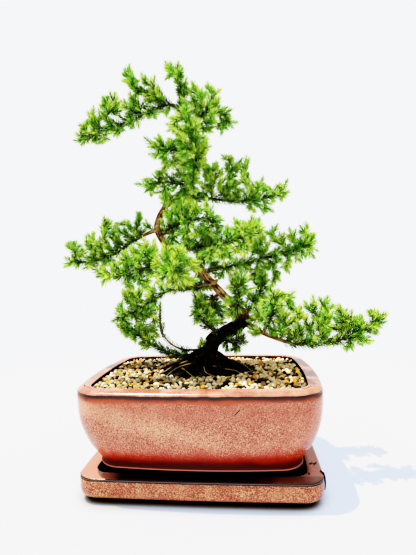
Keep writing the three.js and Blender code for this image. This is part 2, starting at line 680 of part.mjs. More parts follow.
/** One spray as a closed surface: cores of three sides, with needles drawn out of their faces. */
class Spray {
  constructor(name, thicket) {
    this.name = name;
    this.thicket = thicket;
    this.points = [];
    this.faces = [];
    this.axes = [];
  }

  addPoint(point) {
    return this.points.push(point) - 1;
  }

  addFace(face) {
    const corners = face.ids.map((id) => this.points[id]);
    this.faces.push({ ...face, corners, box: new THREE.Box3().setFromPoints(corners) });
  }

  /** Whether an edge of one face passes through the other face, apart from corners they share. */
  facesCross(one, other) {
    if (!one.box.intersectsBox(other.box)) return false;
    const pierces = (edges, face) => [[0, 1], [1, 2], [2, 0]].some(([i, j]) => (
      !face.ids.includes(edges.ids[i]) && !face.ids.includes(edges.ids[j])
      && passesThrough(edges.corners[i], edges.corners[j], face.corners)
    ));
    return pierces(one, other) || pierces(other, one);
  }

  /** Takes back every face from a place in the list on if any of them crosses another face. */
  keepIfClear(faceCount, pointCount) {
    const crossed = this.faces.slice(faceCount).some((face, i) => (
      this.faces.slice(0, faceCount + i).some((other) => this.facesCross(face, other))
    ));
    if (crossed) {
      this.faces.length = faceCount;
      this.points.length = pointCount;
    }
    return !crossed;
  }

  middle([a, b, c]) {
    return this.points[a].clone().add(this.points[b]).add(this.points[c]).divideScalar(3);
  }

  /**
   * Grows a core along a curve from a first ring of three points. Each ring is turned by a sixth
   * of a circle from the one below, so a band has three faces that stand on the lower ring.
   */
  grow(owner, curve, { core, coreTip, bare }, firstRing = null) {
    const length = curve.getLength();
    const bands = Math.max(2, Math.round(length / NEEDLE.pitch));
    const { tangents, normals, binormals } = curve.computeFrenetFrames(bands);
    const start = curve.getPointAt(0);
    const phase = firstRing ? this.ringPhase(firstRing, start, normals[0], binormals[0]) : 0;
    const ringAt = (ring) => [0, 1, 2].map((side) => {
      const angle = phase + (side * 2 + ring) * (Math.PI / 3);
      const radius = THREE.MathUtils.lerp(core, coreTip, ring / bands);
      return this.addPoint(curve.getPointAt(ring / bands)
        .addScaledVector(normals[ring], radius * Math.cos(angle))
        .addScaledVector(binormals[ring], radius * Math.sin(angle)));
    });
    let low = firstRing ?? ringAt(0);
    if (!firstRing) this.addFace({ ids: [low[2], low[1], low[0]] });
    for (let band = 0; band < bands; band += 1) {
      const high = ringAt(band + 1);
      const along = (band + 0.5) / bands;
      const centre = curve.getPointAt(along);
      const tangent = tangents[band];
      for (let side = 0; side < 3; side += 1) {
        const next = (side + 1) % 3;
        for (const [ids, standing] of [
          [[low[side], low[next], high[side]], true],
          [[low[next], high[next], high[side]], false],
        ]) {
          const out = this.middle(ids).sub(centre);
          out.addScaledVector(tangent, -out.dot(tangent)).normalize();
          this.addFace({ ids, owner, band, along, out, tangent, needled: standing && along * length > bare });
        }
      }
      low = high;
    }
    const top = this.addPoint(curve.getPointAt(1).addScaledVector(tangents[bands], NEEDLE.tip));
    for (const [a, b] of [[0, 1], [1, 2], [2, 0]]) this.addFace({ ids: [low[a], low[b], top] });
    return { owner, curve, bands, length };
  }

  /** The angle of a ring's first point in a frame, evened out over its three points. */
  ringPhase(ring, centre, normal, binormal) {
    const sum = new THREE.Vector2();
    ring.forEach((id, side) => {
      const arm = this.points[id].clone().sub(centre);
      const angle = Math.atan2(arm.dot(binormal), arm.dot(normal)) - side * (2 * Math.PI / 3);
      sum.add(new THREE.Vector2(Math.cos(angle), Math.sin(angle)));
    });
    return sum.angle();
  }

  /** The place on an axis that is nearest to a point. */
  nearestOn({ curve }, tip) {
    let best = { along: 0, gap: Infinity };
    for (let i = 0; i <= AXIS_STEPS; i += 1) {
      const gap = curve.getPointAt(i / AXIS_STEPS).distanceTo(tip);
      if (gap < best.gap) best = { along: i / AXIS_STEPS, gap };
    }
    return best;
  }

  /** Grows a side shoot to a tip from the nearest axis, out of the face that looks towards it. */
  addShoot(tip) {
    const cost = ({ axis, gap }) => gap * (axis === this.axes[0] ? 1 : STEM_PREFERENCE);
    const [{ axis, along, gap }] = this.axes
      .map((each) => ({ axis: each, ...this.nearestOn(each, tip) }))
      .sort((one, other) => cost(one) - cost(other));
    const root = THREE.MathUtils.clamp(along - 0.55 * gap / axis.length, 0.5 / axis.bands, 1 - 0.5 / axis.bands);
    const towards = tip.clone().sub(axis.curve.getPointAt(root)).normalize();
    const score = (face) => face.out.dot(towards) - 0.24 * axis.bands * Math.abs(face.along - root);
    return this.faces
      .filter((face) => face.owner === axis.owner)
      .sort((one, other) => score(other) - score(one))
      .slice(0, FACES_TO_TRY)
      .some((face) => this.growFrom(face, tip));
  }

  /** Grows a shoot from a face to a tip, where there is room. */
  growFrom(face, tip) {
    const from = this.middle(face.ids);
    const span = from.distanceTo(tip);
    const bend = from.clone().lerp(tip, 0.5)
      .addScaledVector(face.tangent, 0.14 * span)
      .addScaledVector(face.out, 0.1 * span);
    bend.z -= 0.05 * span;
    const end = tip.clone().addScaledVector(tip.clone().sub(bend).normalize(), -NEEDLE.tip);
    const curve = new THREE.QuadraticBezierCurve3(from, bend, end);
    const owner = `${this.name} ${this.axes.length}`;
    const path = curve.getSpacedPoints(Math.ceil(curve.getLength() / TEST_LINE));
    if (!this.thicket.hasShootRoom(this.name, path)) return false;
    const at = this.faces.indexOf(face);
    this.faces.splice(at, 1);
    const counts = [this.faces.length, this.points.length];
    const axis = this.grow(owner, curve, SHOOT, face.ids);
    if (!this.keepIfClear(...counts)) {
      this.faces.splice(at, 0, face);
      return false;
    }
    this.axes.push(axis);
    this.thicket.addCore(owner, this.name, path, SHOOT.core, ROOT_LINES);
    return true;
  }

  /** Fills bare stretches with short shoots, each out of the face that looks out most freely. */
  fill() {
    for (const axis of [...this.axes]) {
      for (let band = 2; band < axis.bands - 1; band += FILL.every) {
        const free = this.faces.filter((face) => face.owner === axis.owner && face.band === band && face.needled);
        if (!free.length) continue;
        const face = free[Math.floor(noise(band * 7 + this.axes.length) * free.length)];
        const tip = this.middle(face.ids)
          .addScaledVector(face.out, FILL.out)
          .addScaledVector(face.tangent, FILL.forward);
        tip.z += FILL.lift;
        this.growFrom(face, tip);
      }
    }
  }

  /** Draws every face that may carry a needle out to its point, where there is room. */
  addNeedles() {
    for (const face of this.faces.filter(({ needled }) => needled)) {
      const foot = this.middle(face.ids);
      const lean = THREE.MathUtils.lerp(NEEDLE_LEAN.base, NEEDLE_LEAN.tip, face.along);
      const tip = foot.clone()
        .addScaledVector(face.out, NEEDLE.length * Math.sin(lean))
        .addScaledVector(face.tangent, NEEDLE.length * Math.cos(lean));
      const line = new THREE.Line3(foot, tip);
      if (!this.thicket.hasNeedleRoom(face.owner, line)) continue;
      const at = this.faces.indexOf(face);
      this.faces.splice(at, 1);
      const counts = [this.faces.length, this.points.length];
      const [a, b, c] = face.ids;
      const top = this.addPoint(tip);
      for (const ids of [[a, b, top], [b, c, top], [c, a, top]]) this.addFace({ ids });
      if (this.keepIfClear(...counts)) this.thicket.needles.push({ owner: face.owner, line });
      else this.faces.splice(at, 0, face);
    }
  }

  solid() {
    const geometry = new THREE.BufferGeometry().setFromPoints(this.points);
    geometry.setIndex(this.faces.flatMap(({ ids }) => ids));
    return solidOf(geometry);
  }
}

/** The stem's curve of a spray: straight out of the limb's cut face, then through its points. */
function stemCurve({ limb, stem }) {
  const { end, direction } = limbEnd(limb);
  const seat = end.clone().addScaledVector(direction, SEAT_GAP);
  const run = seat.clone().addScaledVector(direction, 2);
  const points = stem.map((point) => new THREE.Vector3(...point));
  const last = points.at(-1);
  last.addScaledVector(last.clone().sub(points.at(-2)).normalize(), -NEEDLE.tip);
  const route = [seat, run, ...points];
  return new THREE.CatmullRomCurve3(route, false, 'centripetal');
}

/** All sprays: first every stem, then every shoot that finds room, then every needle that does. */
function buildSprays() {
  const thicket = new Thicket();
  TRUNK.slice(1).forEach(([x, y, z, radius], i) => {
    const below = new THREE.Vector3(...TRUNK[i]);
    thicket.addCore('wood', 'wood', [below, new THREE.Vector3(x, y, z)], Math.max(radius, TRUNK[i][3]));
  });
  const grown = LIMBS.map(({ name, limb, stem, tips }) => {
    const curve = stemCurve({ limb, stem });
    const spray = new Spray(name, thicket);
    thicket.addCore('wood', 'wood', limb.map((point) => new THREE.Vector3(...point)), LIMB_RADIUS.root);
    thicket.addCore(`${name} stem`, name, curve.getSpacedPoints(4 * stem.length), STEM.core);
    spray.axes.push(spray.grow(`${name} stem`, curve, STEM));
    return { spray, tips };
  });
  for (const { spray, tips } of grown) {
    for (const tip of tips) spray.addShoot(new THREE.Vector3(...tip));
  }
  for (const { spray } of grown) spray.fill();
  for (const { spray } of grown) spray.addNeedles();
  return grown.map(({ spray }) => spray);
}

// ---------------------------------------------------------------- the finished part

const MATERIALS = {
  glaze: { color: 0xd6886e, roughness: 0.28, metalness: 0 },
  trayGlaze: { color: 0xdd9a6c, roughness: 0.25, metalness: 0 },
  plastic: { color: 0x1d1d1d, roughness: 0.6, metalness: 0 },
  soil: { color: 0x1e1712, roughness: 0.95, metalness: 0 },
  gravel: { color: 0xcdb88f, roughness: 0.85, metalness: 0 },
  bark: { color: 0x5c3d28, roughness: 0.9, metalness: 0 },
  needles: { color: 0x4f9c2c, roughness: 0.5, metalness: 0 },
};

const bonsai = new THREE.Group();
bonsai.name = 'bonsai';

/** Adds one named piece to the group. */
function addPiece(name, solid, material) {
  const mesh = new THREE.Mesh(geometryOf(solid), new THREE.MeshStandardMaterial(MATERIALS[material]));
  mesh.name = name;
  bonsai.add(mesh);
}

const pot = buildPot();
const soil = buildSoil();
const gravel = buildGravel();
const wood = buildWood();
addPiece('pot', pot, 'glaze');
addPiece('tray', buildTray(), 'trayGlaze');
addPiece('drain_mesh_left', buildDrainMesh(-1), 'plastic');
addPiece('drain_mesh_right', buildDrainMesh(1), 'plastic');
addPiece('soil', soil, 'soil');
addPiece('gravel', gravel, 'gravel');
addPiece('trunk', wood, 'bark');

for (const spray of buildSprays()) addPiece(spray.name, spray.solid(), 'needles');

const box = new THREE.Box3().setFromObject(bonsai);
bonsai.position.set(-(box.min.x + box.max.x) / 2, -(box.min.y + box.max.y) / 2, -box.min.z);

export default bonsai;
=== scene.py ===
"""A juniper bonsai in a glazed pot on its tray, dressed for a studio picture.

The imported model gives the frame. Every length below is in millimetres, measured from the pot's
upright axis and the table, and a piece is turned into metres in the row's frame when it is made.
"""

from __future__ import annotations

import logging
import math
from abc import ABC, abstractmethod
from collections.abc import Sequence
from dataclasses import dataclass, field
from enum import Enum, IntEnum

import bpy
import numpy as np
from mathutils import Matrix, Vector, noise

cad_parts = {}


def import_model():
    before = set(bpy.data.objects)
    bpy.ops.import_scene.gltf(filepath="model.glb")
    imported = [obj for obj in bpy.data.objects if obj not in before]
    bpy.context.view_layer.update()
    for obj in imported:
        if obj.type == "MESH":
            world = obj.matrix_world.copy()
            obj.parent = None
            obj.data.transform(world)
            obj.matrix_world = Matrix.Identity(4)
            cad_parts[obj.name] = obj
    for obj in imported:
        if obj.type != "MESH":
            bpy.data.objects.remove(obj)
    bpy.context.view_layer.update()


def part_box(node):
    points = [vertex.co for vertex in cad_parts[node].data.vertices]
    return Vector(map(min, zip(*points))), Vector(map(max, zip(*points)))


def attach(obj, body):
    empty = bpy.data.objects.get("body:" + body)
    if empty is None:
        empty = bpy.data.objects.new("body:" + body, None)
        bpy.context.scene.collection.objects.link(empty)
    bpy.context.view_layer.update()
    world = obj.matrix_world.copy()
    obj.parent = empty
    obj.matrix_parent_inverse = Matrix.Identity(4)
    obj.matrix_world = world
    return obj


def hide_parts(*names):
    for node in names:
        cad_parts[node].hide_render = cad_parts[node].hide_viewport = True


LOG = logging.getLogger("bonsai")
BODY = "root"
METRES = 0.001
SEED = 20
GROWTH = "growth"
TURN = 2 * math.pi

Colour = tuple[float, float, float, float]
Array = np.ndarray
Route = Sequence[tuple[float, ...]]
Material = bpy.types.Material
Piece = bpy.types.Object


def paint(red: int, green: int, blue: int) -> Colour:
    """A colour from its screen values, 0 to 255, as the shader's linear light.

    Args:
        red: the red channel, 0 to 255.
        green: the green channel, 0 to 255.
        blue: the blue channel, 0 to 255.

    Returns:
        The colour, with an alpha of 1.
    """

    def linear(value: int) -> float:
        """One channel as linear light."""
        share = value / 255
        return share / 12.92 if share <= 0.04045 else ((share + 0.055) / 1.055) ** 2.4

    return linear(red), linear(green), linear(blue), 1.0


class Coat(IntEnum):
    """The finishes of the pot and the tray, in the order of their materials."""

    GLAZE = 0
    INSIDE = 1
    FOOT = 2


class Bed(IntEnum):
    """The finishes of the gravel."""

    STONE = 0
    GRIT = 1


class Green(IntEnum):
    """The finishes of a spray: the keel of its needles, its stems and its needles' upper faces."""

    KEEL = 0
    STEM = 1
    FACE = 2


# ---------------------------------------------------------------- sizes of the pot and tray


@dataclass(frozen=True)
class Outline:
    """A rectangle with round corners and outward-bowed sides, by its half sizes."""

    half_x: float
    half_y: float
    corner: float
    bow: float = 0.0
    corner_steps: int = 12
    side_steps: int = 16

    def ring(self, height: float, inset: float = 0.0) -> Array:
        """The outline's points at a height, all moved in by an inset.

        Args:
            height: z of every point.
            inset: how far the outline is moved in.

        Returns:
            The points, counter-clockwise from the +X side, as rows of x, y, z.
        """
        radius = max(self.corner - 0.3 * inset, 4.0)
        arm_x = self.half_x - inset - radius
        arm_y = self.half_y - inset - radius
        turns = [(arm_x, arm_y), (-arm_x, arm_y), (-arm_x, -arm_y), (arm_x, -arm_y)]
        points = []
        for quarter, (x, y) in enumerate(turns):
            for step in range(self.corner_steps + 1):
                angle = (quarter + step / self.corner_steps) * math.pi / 2
                points.append((x + radius * math.cos(angle), y + radius * math.sin(angle), height))
            next_x, next_y = turns[(quarter + 1) % 4]
            angle = (quarter + 1) * math.pi / 2
            for step in range(1, self.side_steps):
                share = step / self.side_steps
                out = radius + self.bow * 4 * share * (1 - share)
                points.append((
                    x + (next_x - x) * share + math.cos(angle) * out,
                    y + (next_y - y) * share + math.sin(angle) * out,
                    height,
                ))
        return np.array(points)


POT_RIM = Outline(99, 74, 26, 3)
POT_OPENING = Outline(88, 63, 14, 2.5)
POT_FOOT = Outline(75, 46, 16)
TRAY_LIP = Outline(97.5, 66.5, 15, 1)
FOOT_LINE = 26.0
LIP_LINE = 86.8
RIM_TOP = 90.7
POT_FLOOR = 28.0
TRAY_FLOOR = 12.0
SEAT_GAP = 0.35
GRAVEL_LEVEL = 88.2
GRAVEL_RISE = 1.3
SHELF = 81.0
HOLE_SPACING = 76.0
MOUND_MIDDLE = np.array((1.0, 3.0))
MOUND_REACH = np.array((46.0, 30.0))
MOUND_FOOT = 88.0
MOUND_RISE = 9.0
MOUND_SLOPE = ([0, 0.26, 0.42, 0.64, 0.86, 1], [1.5, 1.4, 1.15, 0.75, 0.32, 0])


def smooth_profile(steps: Route, per_step: int) -> list[tuple[float, float]]:
    """Rounds a profile of (height, inset) steps by a curve through them."""
    curve = catmull_rom(np.array([(inset, 0.0, height) for height, inset in steps]), per_step)
    return [(float(point[2]), float(point[0])) for point in curve]


# ---------------------------------------------------------------- curves


def catmull_rom(points: Array, per_step: int) -> Array:
    """A smooth curve through points, whose speed follows the spacing of the points.

    Args:
        points: rows of x, y, z.
        per_step: how many pieces each step between two points is cut into.

    Returns:
        The curve's points, the first and last of them the given ends.
    """
    first = 2 * points[0] - points[1]
    last = 2 * points[-1] - points[-2]
    route = np.vstack([first, points, last])
    shares = (np.arange(per_step) / per_step)[:, None]
    pieces = []
    for before, start, end, after in zip(route, route[1:], route[2:], route[3:]):
        spans = [math.dist(a, b) ** 0.5 for a, b in ((before, start), (start, end), (end, after))]
        middle = max(spans[1], 1e-6)
        low, high = (span if span > 1e-4 else middle for span in (spans[0], spans[2]))
        leave = (start - before) / low - (end - before) / (low + middle) + (end - start) / middle
        arrive = (end - start) / middle - (after - start) / (middle + high) + (after - end) / high
        leave, arrive = leave * middle, arrive * middle
        pieces.append(
            start + leave * shares
            + (3 * (end - start) - 2 * leave - arrive) * shares**2
            + (2 * (start - end) + leave + arrive) * shares**3
        )
    return np.vstack([*pieces, points[-1:]])


def unit(vectors: Array) -> Array:
    """The vectors at length one."""
    return vectors / np.maximum(np.linalg.norm(vectors, axis=-1, keepdims=True), 1e-9)


class Path:
    """A line through space that is walked by its length, with a frame that doesn't twist."""

    def __init__(self, points: Array) -> None:
        """Keeps the points and works out the length at each.

        Args:
            points: the path's points, as rows of x, y and z.
        """
        self.points = points
        steps = np.linalg.norm(np.diff(points, axis=0), axis=1)
        self.reached = np.concatenate([[0.0], np.cumsum(steps)])
        self.length = float(self.reached[-1])

    def at(self, shares: Array) -> Array:
        """The points at shares of the length."""
        walked = np.asarray(shares) * self.length
        return np.stack([np.interp(walked, self.reached, column) for column in self.points.T], -1)

    def frames(self, shares: Array) -> tuple[Array, Array, Array]:
        """Directions along the path and two across it.

        Args:
            shares: shares of the length, in rising order.

        Returns:
            The tangents, normals and binormals, one row for each share.
        """
        reach = 0.5 / max(len(self.points), 4)
        ahead = self.at(np.minimum(shares + reach, 1.0))
        behind = self.at(np.maximum(shares - reach, 0.0))
        tangents = unit(ahead - behind)
        normals = np.zeros_like(tangents)
        least = np.eye(3)[int(np.argmin(np.abs(tangents[0])))]
        normal = np.cross(tangents[0], least)
        for row, tangent in enumerate(tangents):
            normal = normal - tangent * float(normal @ tangent)
            normal = normal / max(float(np.linalg.norm(normal)), 1e-9)
            normals[row] = normal
        return tangents, normals, np.cross(tangents, normals)

    def nearest(self, target: Array) -> tuple[float, float]:
        """Finds the place on the path that is nearest to a point.

        Args:
            target: the point.

        Returns:
            Its share of the length, and the gap there.
        """
        shares = np.linspace(0, 1, 41)
        gaps = np.linalg.norm(self.at(shares) - target, axis=1)
        best = int(np.argmin(gaps))
        return float(shares[best]), float(gaps[best])


def bezier(start: Array, bend: Array, end: Array, count: int) -> Array:
    """Points on a curve with one bend."""
    share = np.linspace(0, 1, count)[:, None]
    return (1 - share) ** 2 * start + 2 * share * (1 - share) * bend + share**2 * end


def smooth_path(route: Route, per_step: int) -> Path:
    """A smooth path through a route, each step of it cut into pieces."""
    return Path(catmull_rom(np.array(route, dtype=float), per_step))


def ground_curve(route: Route) -> Array:
    """A smooth curve through places on the ground, at height zero."""
    return catmull_rom(np.array([(x, y, 0.0) for x, y in route]), 8)


def around(count: int) -> Array:
    """Even angles round a turn."""
    return np.arange(count) * TURN / count


def circle(count: int) -> Array:
    """Even points round a circle of radius one, as rows of x and y."""
    return np.stack([np.cos(around(count)), np.sin(around(count))], -1)


def outward(normals: Array, binormals: Array, turn: Array) -> Array:
    """Directions out of a path at angles round it."""
    return normals[:, None] * np.cos(turn)[..., None] + binormals[:, None] * np.sin(turn)[..., None]


def at_height(flat: Array, height: float) -> Array:
    """Rows of x and y, lifted to one height."""
    return np.column_stack([flat, np.full(len(flat), height)])


# ---------------------------------------------------------------- meshes


@dataclass
class Shape:
    """A mesh that is being gathered, in millimetres, with a growth colour for each point."""

    points: list[Array] = field(default_factory=list)
    faces: list[Array] = field(default_factory=list)
    dress: list[Array] = field(default_factory=list)
    growth: list[Array] = field(default_factory=list)
    count: int = 0

    def add(self, points: Array, faces: Array, dress: int = 0, growth: Array | None = None) -> None:
        """Adds points and the faces between them.

        Args:
            points: rows of x, y, z.
            faces: rows of three or four numbers of points, counted from the first of these.
            dress: which of the piece's finishes the faces take.
            growth: a row of three numbers for each point, or none.
        """
        self.points.append(points)
        self.faces.append(faces + self.count)
        self.dress.append(np.full(len(faces), dress, dtype=np.int32))
        self.growth.append(np.zeros((len(points), 3)) if growth is None else growth)
        self.count += len(points)

    def add_loft(
        self, rings: list[Array], dresses: list[int] | None = None, growth: Array | None = None
    ) -> None:
        """Adds a closed skin over rings with the same number of points, capped at both ends.

        Args:
            rings: the rings in order, each counter-clockwise as seen from the last of them.
            dresses: the finish of each band between two rings, or none for the first finish.
            growth: a row of three numbers for each point of the rings, or none.
        """
        count = len(rings[0])
        here = np.arange(count)
        after = (here + 1) % count
        points = np.vstack([*rings, rings[0].mean(0), rings[-1].mean(0)])
        tone = None if growth is None else np.vstack([growth, growth[:1], growth[-1:]])
        base = self.count
        dresses = dresses or [0] * (len(rings) - 1)
        foot = len(rings) * count
        top = (len(rings) - 1) * count
        low_cap = np.stack([np.full(count, foot), after, here], -1)
        high_cap = np.stack([np.full(count, foot + 1), top + here, top + after], -1)
        self.add(points, low_cap, dresses[0], tone)
        for number, dress in enumerate(dresses):
            low = number * count
            band = np.stack([low + here, low + after, low + count + after, low + count + here], -1)
            self.faces.append(band + base)
            self.dress.append(np.full(count, dress, dtype=np.int32))
        self.faces.append(high_cap + base)
        self.dress.append(np.full(count, dresses[-1], dtype=np.int32))

    def add_tube(
        self, path: Path, radii: Array, sides: int, dress: int = 0, growth: Array | None = None
    ) -> None:
        """Adds a closed round limb along a path.

        Args:
            path: its middle line.
            radii: the radius at even steps along it, the first at its start.
            sides: how many sides a ring has.
            dress: the finish.
            growth: a row of three numbers for each ring, or none.
        """
        shares = np.linspace(0, 1, len(radii))
        _, normals, binormals = path.frames(shares)
        across = outward(normals, binormals, around(sides))
        rings = path.at(shares)[:, None] + across * radii[:, None, None]
        tone = None if growth is None else np.repeat(growth, sides, axis=0)
        self.add_loft(list(rings), [dress] * (len(radii) - 1), tone)


class Workshop:
    """Turns shapes in millimetres round the pot's axis into pieces in the row's frame."""

    def __init__(self) -> None:
        """Finds the pot's axis from the tray, which is centred on it."""
        low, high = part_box("tray")
        self.axis = (low + high) / 2
        self.axis.z = 0

    def to_row(self, points: Array) -> Array:
        """Millimetres round the pot's axis to metres in the row's frame."""
        return np.asarray(points) * METRES + np.array(self.axis)

    def make(
        self,
        name: str,
        shape: Shape,
        materials: list[Material],
        slot: str | None,
        replaces: tuple[str, ...] = (),
        smooth: bool = True,
    ) -> Piece:
        """Makes a piece, which rides with the object when it is given a slot.

        Args:
            name: the piece's name.
            shape: its mesh.
            materials: its finishes, in the order that the shape counts them.
            slot: the name of a material slot, which is not kept; with one the piece rides with the object,
                with none it stays on the stage.
            replaces: the CAD nodes that it stands for.
            smooth: whether its faces are shaded smooth.

        Returns:
            The new object.
        """
        mesh = bpy.data.meshes.new(name)
        points = self.to_row(np.vstack(shape.points))
        corners = np.concatenate([block.ravel() for block in shape.faces])
        sizes = np.concatenate([np.full(len(block), block.shape[1]) for block in shape.faces])
        mesh.vertices.add(len(points))
        mesh.vertices.foreach_set("co", points.astype(np.float32).ravel())
        mesh.loops.add(len(corners))
        mesh.loops.foreach_set("vertex_index", corners.astype(np.int32))
        mesh.polygons.add(len(sizes))
        starts = np.concatenate([[0], np.cumsum(sizes)[:-1]])
        mesh.polygons.foreach_set("loop_start", starts.astype(np.int32))
        mesh.polygons.foreach_set("material_index", np.concatenate(shape.dress))
        mesh.update(calc_edges=True)
        mesh.polygons.foreach_set("use_smooth", np.full(len(sizes), smooth))
        write_growth(mesh, np.vstack(shape.growth))
        for material in materials:
            mesh.materials.append(material)
        piece = bpy.data.objects.new(name, mesh)
        bpy.context.scene.collection.objects.link(piece)
        if slot:
            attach(piece, BODY)
        if replaces:
            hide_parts(*replaces)
        return piece


class Maker(ABC):
    """A sub-assembly that holds its sizes and builds its own pieces."""

    @abstractmethod
    def build(self, shop: Workshop) -> list[Piece]:
        """Builds the sub-assembly's meshes and dresses them.

        Args:
            shop: the workshop that turns shapes into pieces.

        Returns:
            The new pieces.
        """


def write_growth(mesh: bpy.types.Mesh, growth: Array) -> None:
    """Writes the growth colour of a mesh, three numbers for each of its points.

    Args:
        mesh: the mesh to write to.
        growth: the numbers, one row for each point.
    """
    layers = mesh.color_attributes
    layer = layers.get(GROWTH) or layers.new(GROWTH, "FLOAT_COLOR", "POINT")
    tones = np.column_stack([growth, np.ones(len(growth))])
    layer.data.foreach_set("color", tones.astype(np.float32).ravel())


def read_rows(mesh: bpy.types.Mesh, name: str) -> Array:
    """A vector that a mesh keeps for each of its points, as rows.

    Args:
        mesh: the mesh to read from.
        name: the vector's name, such as "co" or "normal".

    Returns:
        One row for each point.
    """
    values = np.zeros(len(mesh.vertices) * 3, np.float32)
    mesh.vertices.foreach_get(name, values)
    return values.reshape(-1, 3)


def bake_modifiers(piece: Piece) -> None:
    """Applies a piece's modifiers to its mesh.

    Args:
        piece: the piece, which keeps its name and materials.
    """
    graph = bpy.context.evaluated_depsgraph_get()
    mesh = bpy.data.meshes.new_from_object(piece.evaluated_get(graph))
    piece.modifiers.clear()
    piece.data = mesh


# ---------------------------------------------------------------- finishes


class Step(Enum):
    """A step of arithmetic between two numbers."""

    ADD = "ADD"
    TAKE = "SUBTRACT"
    TIMES = "MULTIPLY"
    LARGER = "MAXIMUM"
    SIZE = "ABSOLUTE"


class Value:
    """A number or colour that a material works out at each place, and what may be done with it."""

    def __init__(self, finish: Finish, socket: bpy.types.NodeSocket) -> None:
        """Keeps the material and the socket that gives the value."""
        self.finish = finish
        self.socket = socket

    def step(self, kind: Step, other: Source = 0.0, clamp: bool = False) -> Value:
        """One step of arithmetic, held between 0 and 1 if clamp is set."""
        return self.finish.add("ShaderNodeMath", {0: self, 1: other}, operation=kind.value, use_clamp=clamp)

    def __add__(self, other: Source) -> Value:
        """The sum."""
        return self.step(Step.ADD, other)

    def __sub__(self, other: Source) -> Value:
        """The difference."""
        return self.step(Step.TAKE, other)

    def __mul__(self, other: Source) -> Value:
        """The product."""
        return self.step(Step.TIMES, other)

    def __abs__(self) -> Value:
        """The number without its sign."""
        return self.step(Step.SIZE)

    def fade(self, start: float, end: float) -> Value:
        """0 where the number is before start, 1 where it is past end, and smooth between them.

        Args:
            start: where the fade begins.
            end: where it ends.

        Returns:
            The fade as a number from 0 to 1.
        """
        low, high = sorted((start, end))
        inputs = {"Value": self, "From Min": low, "From Max": high}
        inputs |= {"To Min": float(start > end), "To Max": float(start <= end)}
        return self.finish.add("ShaderNodeMapRange", inputs, "Result", interpolation_type="SMOOTHSTEP")

    def band(self, rise: tuple[float, float], fall: tuple[float, float]) -> Value:
        """1 between a rise and a fall, each given by where it starts and ends, and 0 outside them."""
        return self.fade(*rise) * self.fade(*fall)

    def swing(self, width: float) -> Value:
        """A value from 0 to 1 as one that swings round 0, over a width."""
        return (self - 0.5) * width


Source = Value | float | Colour


class Finish:
    """A material whose nodes are laid out by short calls."""

    def __init__(self, name: str) -> None:
        """Starts a material with a plain shader.

        Args:
            name: the material's name.
        """
        self.material = bpy.data.materials.new(name)
        self.material.use_nodes = True
        self.nodes = self.material.node_tree.nodes
        self.shader = self.nodes["Principled BSDF"]
        self.place = self.add("ShaderNodeTexCoord", {}, "Object")

    def wire(self, socket: bpy.types.NodeSocket, source: Source) -> None:
        """Links a value to a socket, or sets the socket to a plain number or colour.

        Args:
            socket: the socket to feed.
            source: a value, or a plain number or colour.
        """
        if isinstance(source, Value):
            self.material.node_tree.links.new(source.socket, socket)
        else:
            socket.default_value = source

    def add(
        self, kind: str, inputs: dict[int | str, Source], result: int | str = 0, **settings: object
    ) -> Value:
        """Adds a node.

        Args:
            kind: the node's type.
            inputs: what its inputs take, by their numbers or names.
            result: the output that is wanted.
            settings: the node's own settings.

        Returns:
            The value that the node gives.
        """
        node = self.nodes.new(kind)
        for name, setting in settings.items():
            setattr(node, name, setting)
        for place, source in inputs.items():
            self.wire(node.inputs[place], source)
        return Value(self, node.outputs[result])

    def set(self, **sources: Source) -> None:
        """Gives the shader's inputs their values, with _ for a space in a name."""
        for name, source in sources.items():
            self.wire(self.shader.inputs[name.replace("_", " ")], source)

    def grain(self, size: float, detail: float = 2.0, rough: float = 0.5, warp: float = 0.0) -> Value:
        """Soft random patches.

        Args:
            size: the width of a patch in millimetres.
            detail: how many finer layers it has.
            rough: how strong they are.
            warp: how far the patches are bent.

        Returns:
            A value from 0 to 1.
        """
        inputs = {"Vector": self.place, "Scale": 1 / (size * METRES)}
        inputs |= {"Detail": detail, "Roughness": rough, "Distortion": warp}
        return self.add("ShaderNodeTexNoise", inputs, "Fac")

    def cells(self, size: float) -> Value:
        """The distance from the middles of random cells of a width in millimetres."""
        inputs = {"Vector": self.place, "Scale": 1 / (size * METRES)}
        return self.add("ShaderNodeTexVoronoi", inputs, "Distance")

    def lay(self, share: Source, under: Source, over: Source) -> Value:
        """Lays a share of one colour over another."""
        inputs = {"Factor": share, "A": under, "B": over}
        return self.add("ShaderNodeMix", inputs, "Result", data_type="RGBA")

    def ramp(self, value: Value, stops: list[tuple[float, Colour]]) -> Value:
        """A colour that changes with a value through the stops.

        Args:
            value: the number that picks the colour.
            stops: places from 0 to 1, each with its colour.

        Returns:
            The colour.
        """
        ramp = self.add("ShaderNodeValToRGB", {"Fac": value}, "Color")
        band = ramp.socket.node.color_ramp.elements
        for _ in stops[2:]:
            band.new(0.5)
        for element, (place, colour) in zip(band, stops):
            element.position = place
            element.color = colour
        return ramp

    def parts(self, kind: str, whole: Value) -> list[Value]:
        """The three numbers that a value is made of, by a node that takes it apart."""
        first = self.add(kind, {0: whole})
        return [Value(self, output) for output in first.socket.node.outputs]

    def axes(self) -> list[Value]:
        """x, y and z in millimetres."""
        return [part * (1 / METRES) for part in self.parts("ShaderNodeSeparateXYZ", self.place)]

    def growth(self) -> list[Value]:
        """The three numbers of the mesh's growth colour."""
        return self.parts(
            "ShaderNodeSeparateColor", self.add("ShaderNodeVertexColor", {}, layer_name=GROWTH)
        )

    def relief(self, height: Value, depth: float) -> None:
        """Roughens the surface by a height of a depth in millimetres."""
        inputs = {"Strength": 1.0, "Distance": depth * METRES, "Height": height}
        self.set(Normal=self.add("ShaderNodeBump", inputs, "Normal"))


class Coating(ABC):
    """What a piece is dressed in, by its colours."""

    @abstractmethod
    def material(self) -> Material:
        """Builds the material.

        Returns:
            The new material, for as many pieces as wear it.
        """


